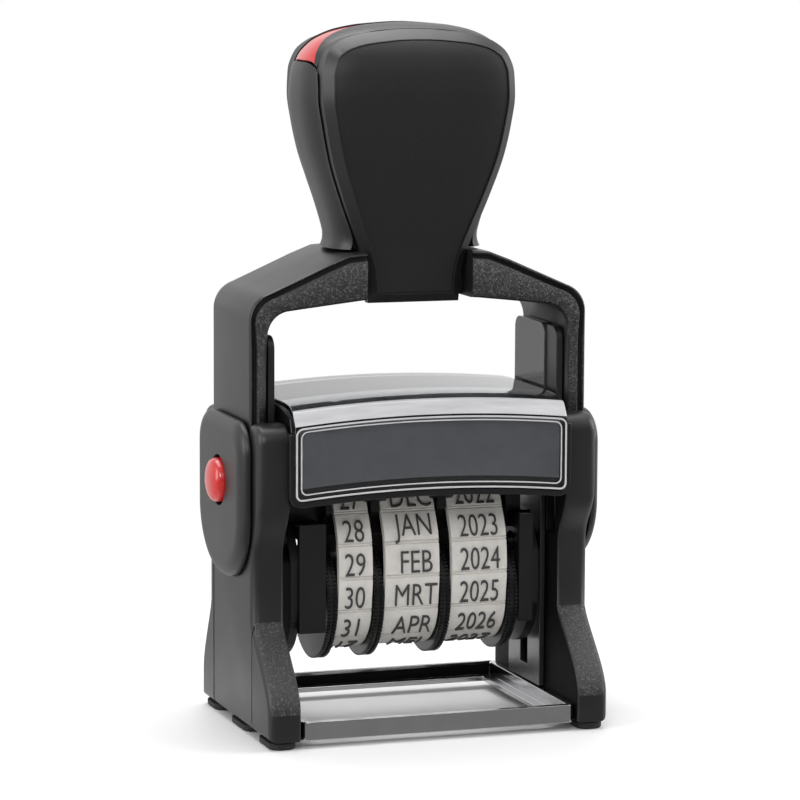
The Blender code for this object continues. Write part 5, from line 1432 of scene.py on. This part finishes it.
def index_label():
    """The grey card in its slot behind the cover's front face."""
    low, high = own_box("label_card")
    work = bmesh.new()
    rings = []
    for step in range(CARD_STATIONS + 1):
        x = low.x + (high.x - low.x) * step / CARD_STATIONS
        foot, head = CARD_FOOT_Z + barrel(x), CARD_HEAD_Z + barrel(x)
        rings.append([(x, low.y, foot), (x, low.y, head), (x, high.y, head), (x, high.y, foot)])
    drawn_skin(work, rings)
    return piece(work, "index_label", "stamp_base", [CARD], ["label_card"])


CARD_STATIONS = 32
CARD_FOOT_Z = 46.3 * MM
CARD_HEAD_Z = 57.3 * MM


# Date set
AXLE_Z = 23.2 * MM
DISC_RADIUS = 11.5 * MM
DISC_TEETH = 96
TOOTH = ((0.0, 0.34), (0.18, 0.0), (0.58, 0.0), (0.76, 0.34))
RIM_WIDTH = 0.62 * MM
RIM_STEP = 0.42 * MM
WEB_SINK = 0.3 * MM
HUB_RADIUS = 6.2 * MM
HUB_STAND_OUT = 0.12 * MM
DRUM_RADIUS = 8.05 * MM
BAND_ROUND = 10.8 * MM
BAND_HANG = 9.5 * MM
BAND_THICKNESS = 1.3 * MM
BAND_CELLS = 15
CELL_LINE_Z = 28.15 * MM
LINE_REACH = 0.42 * MM
DOUBLE_LINE = ((-0.38, 0.0), (-0.26, 0.24), (-0.1, 0.24), (0.0, 0.02), (0.12, 0.02), (0.22, 0.24),
               (0.32, 0.24), (0.4, 0.0))
DISCS = {"day": ((-17.4, -15.5),), "month": ((-8.4, -6.5),), "year": ((4.6, 6.5), (17.9, 19.8))}
DRUMS = {"day": (-15.5, -8.7), "month": (-6.5, 4.3), "year": (6.5, 17.9)}
BANDS = {"day": (-15.2, -8.7), "month": (-6.2, 4.3), "year": (6.8, 17.6)}
LABELS = {
    "day": [str(day) for day in list(range(29, 16, -1)) + [31, 30]],
    "month": "FEB JAN DEC NOV OKT SEP AUG JUL JUN - - - MEI APR MRT".split(),
    "year": [str(year) for year in list(range(2024, 2015, -1)) + list(range(2030, 2024, -1))],
}
LABEL_WIDTHS = {"day": ("28", 3.9, -0.15), "month": ("FEB", 6.1, 0.65), "year": ("2024", 7.7, 0.1)}
LABEL_DROP = 0.55 * MM
FIGURE_HEIGHT = 4.0 * MM
FIGURE_RISE = 0.2 * MM
FIGURE_LIFT = 0.1 * MM
FIGURE_THINNING = 0.09 * MM
FIGURE_BEVEL = 0.03 * MM
FIGURE_SLICE = 0.6 * MM
TRIAL_SIZE = 5 * MM


def date_wheel(word):
    """Rubber-toothed rims either side of each disc, on the drum that carries the band."""
    work = bmesh.new()
    for low, high in [(low * MM, high * MM) for low, high in DISCS[word]]:
        for start in (low, high - RIM_WIDTH):
            rim = [turn((0, AXLE_Z), DISC_RADIUS - drop * MM, 2 * math.pi * (tooth + share) / DISC_TEETH)
                   for tooth in range(DISC_TEETH) for share, drop in TOOTH]
            thicken(work, [outline_face(work, rim, "YZ", start)], (RIM_WIDTH, 0, 0))
        rod_solid(work, (0, AXLE_Z), DISC_RADIUS - RIM_STEP, low + WEB_SINK, high - WEB_SINK, 96)
        rod_solid(work, (0, AXLE_Z), HUB_RADIUS, low - HUB_STAND_OUT, high + HUB_STAND_OUT, 64)
    low, high = DRUMS[word]
    rod_solid(work, (0, AXLE_Z), DRUM_RADIUS, low * MM, high * MM, 72)
    return piece(work, word + "_toothed_wheel", word + "_dial", [DEEP], [word + "_wheel"])


def band_path():
    """The outer path of a band from its lowest point, up the front, over the crest and down the rear."""
    half = [(BAND_ROUND * math.cos(angle), AXLE_Z + BAND_HANG * math.sin(angle))
            for angle in (math.radians(-90 - 4.5 * step) for step in range(21))]
    for step in range(1, SPAN_STEPS + 1):
        z = AXLE_Z + (SPAN_END_Z - AXLE_Z) * step / SPAN_STEPS
        half.append((-between(SPAN_LEVELS, SPAN_HALVES, z / MM) * MM, z))
    half += [(y * MM, z * MM) for y, z in CREST]
    return half + [(-y, z) for y, z in reversed(half[1:])]


SPAN_STEPS = 40
SPAN_END_Z = 48.35 * MM
SPAN_LEVELS = (23.2, 28.4, 34.2, 40.2, 45.5, 48.4)
SPAN_HALVES = (10.8, 11.4, 10.9, 8.3, 4.9, 3.0)
CREST = ((-2.85, 48.68), (-2.5, 48.9), (-1.2, 48.9))


def walked(path):
    """The distance of each point along a closed path, and the whole way round."""
    marks, length = [], 0.0
    for here, after in zip(path, path[1:] + path[:1]):
        marks.append(length)
        length += math.dist(here, after)
    return marks, length


def on_path(path, marks, length, distance):
    """The place at a distance along a closed path and the way outwards there."""
    distance %= length
    index = max(step for step in range(len(marks)) if marks[step] <= distance)
    here, after = Vector(path[index]), Vector(path[(index + 1) % len(path)])
    run = (after - here).normalized()
    return here + run * (distance - marks[index]), Vector((-run.y, run.x))


def date_band(word):
    """A band with a double line between its cells, and its raised figures."""
    path = band_path()
    marks, length = walked(path)
    pitch = length / BAND_CELLS
    start = next(mark for mark, (y, z) in zip(marks, path) if y < 0 and z > CELL_LINE_Z)
    lines = [(start + cell * pitch) % length for cell in range(BAND_CELLS)]
    stops = [(mark, 0.0) for mark in marks
             if all(min(abs(mark - line), length - abs(mark - line)) > LINE_REACH for line in lines)]
    for line in lines:
        stops += [((line + shift * MM) % length, depth * MM) for shift, depth in DOUBLE_LINE]
    outer, inner = [], []
    for mark, depth in sorted(stops):
        place, outward = on_path(path, marks, length, mark)
        outer.append(place - outward * depth)
        inner.append(place - outward * BAND_THICKNESS)
    low, high = (reach * MM for reach in BANDS[word])
    work = bmesh.new()
    loops = [closed_loop(work, [(low, *place) for place in line]) for line in (outer, inner)]
    bmesh.ops.bridge_loops(work, edges=loops[0] + loops[1])
    thicken(work, work.faces[:], (high - low, 0, 0))
    piece(work, word + "_band_loop", "die_unit", [BAND], [word + "_band"], smooth=40.0)
    figures(word, path, marks, length, start, pitch)


def lettering(label, size):
    """The solid letters of a label, standing on the XY plane about its middle."""
    text = bpy.data.curves.new("lettering", "FONT")
    text.body = label
    text.size = size
    text.align_x = "CENTER"
    text.align_y = "CENTER"
    text.resolution_u = 3
    text.offset = -FIGURE_THINNING
    text.extrude = FIGURE_RISE
    text.bevel_depth = FIGURE_BEVEL
    text.bevel_resolution = 0
    holder = bpy.data.objects.new("lettering", text)
    mesh = bpy.data.meshes.new_from_object(holder)
    bpy.data.objects.remove(holder)
    bpy.data.curves.remove(text)
    return mesh


def extent(verts, axis):
    """The lowest and highest place of vertices along an axis."""
    places = [vert.co[axis] for vert in verts]
    return min(places), max(places)


def figures(word, path, marks, length, start, pitch):
    """Figures moulded on a band, one label to a cell, bent along its path."""
    middle_x = sum(reach * MM for reach in BANDS[word]) / 2
    sample, width, offset = LABEL_WIDTHS[word]
    foot, head = extent(lettering("H", TRIAL_SIZE).vertices, 1)
    size = TRIAL_SIZE * FIGURE_HEIGHT / (head - foot)
    left, right = extent(lettering(sample, size).vertices, 0)
    squeeze = width * MM / (right - left)
    work = bmesh.new()
    for cell, label in enumerate(LABELS[word]):
        if label == "-":
            continue
        letters = bmesh.new()
        letters.from_mesh(lettering(label, size))
        bmesh.ops.remove_doubles(letters, verts=letters.verts, dist=0.1 * SLACK)
        middle = sum(extent(letters.verts, 1)) / 2
        for cut in range(-3, 4):
            sliced(letters, "Y", middle + cut * FIGURE_SLICE)
        centre = start + (cell + 0.5) * pitch - LABEL_DROP - middle
        for vert in letters.verts:
            spot, outward = on_path(path, marks, length, centre + vert.co.y)
            spot = spot + outward * (vert.co.z + FIGURE_LIFT)
            vert.co = (middle_x + offset * MM + vert.co.x * squeeze, *spot)
        bent = bpy.data.meshes.new("bent")
        letters.to_mesh(bent)
        letters.free()
        work.from_mesh(bent)
    piece(work, word + "_figures", "die_unit", [TYPE], (), smooth=50.0)


def felt_pad():
    """The ink felt: a soft slab with full, rounded edges, standing a little out of its tray."""
    low, high = own_box("ink_pad")
    work = bmesh.new()
    box_solid(work, low, high)
    round_edges(work, work.edges[:], FELT_ROUNDING, 4)
    for step in range(1, 24):
        sliced(work, "X", low.x + (high.x - low.x) * step / 24)
    for step in range(1, 9):
        sliced(work, "Y", FELT_HALF_DEPTH * (2 * step / 9 - 1))
    for vert in work.verts:
        edge = max(abs(vert.co.x) / high.x, abs(vert.co.y) / FELT_HALF_DEPTH)
        if vert.co.z < low.z + PART_GAP:
            vert.co.z += FELT_SAG * edge ** 4
    made = piece(work, "ink_felt", "ink_cartridge", [FELT], ["ink_pad"], smooth=60.0)
    return made


FELT_ROUNDING = 0.55 * MM
FELT_HALF_DEPTH = 7 * MM
FELT_SAG = 0.18 * MM


PLAIN_FINISHES = {
    SATIN: ("grip_core", "left_sliding_arm", "right_sliding_arm", "left_side_shield", "right_side_shield",
            "left_side_housing", "right_side_housing", "yoke", "grip_front_plate", "grip_rear_plate"),
    PANEL: ("front_label_panel", "rear_label_panel"),
    DEEP: ("die_frame", "pad_chamber", "pad_tray", "day_wheel", "month_wheel", "year_wheel"),
    RED: ("top_insert", "left_lock_button", "right_lock_button"),
    PLATED: ("base_frame", "wheel_axle"),
    BRUSHED: ("left_guide_plate", "right_guide_plate", "left_pivot_pin", "right_pivot_pin"),
    WIRE: ("left_return_spring", "right_return_spring"),
    RUBBER: ("left_front_foot", "left_middle_foot", "left_rear_foot", "right_front_foot",
             "right_middle_foot", "right_rear_foot"),
    BAND: ("day_band", "month_band", "year_band"),
    CARD: ("label_card",),
    CLEAR: ("clear_cover",),
    FELT: ("ink_pad",),
}


def dress_nodes():
    """Gives every CAD node the finish of its own piece, and welds its facets."""
    for coating, nodes in PLAIN_FINISHES.items():
        for node in nodes:
            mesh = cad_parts[node].data
            mesh.materials.clear()
            mesh.materials.append(coating)
            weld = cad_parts[node].modifiers.new("weld", "WELD")
            weld.merge_threshold = 0.1 * SLACK


dress_nodes()
grip_core()
red_insert()
face_plate(-1, "front")
face_plate(1, "rear")
yoke()
for side, word in BOTH_SIDES:
    sliding_arm(side, word)
for side, word in BOTH_SIDES:
    side_housing(side, word)
    side_shield(side, word)
    lock_button(side, word)
rubber_feet()
frame_rails()
rolled_edges()
clear_shell()
window_rim()
cover_trim()
index_label()
for word in ("day", "month", "year"):
    date_wheel(word)
    date_band(word)
felt_pad()
pale_floor()
studio_air()
soft_lamps()
photo_camera()
bpy.context.scene.view_settings.view_transform = "Standard"
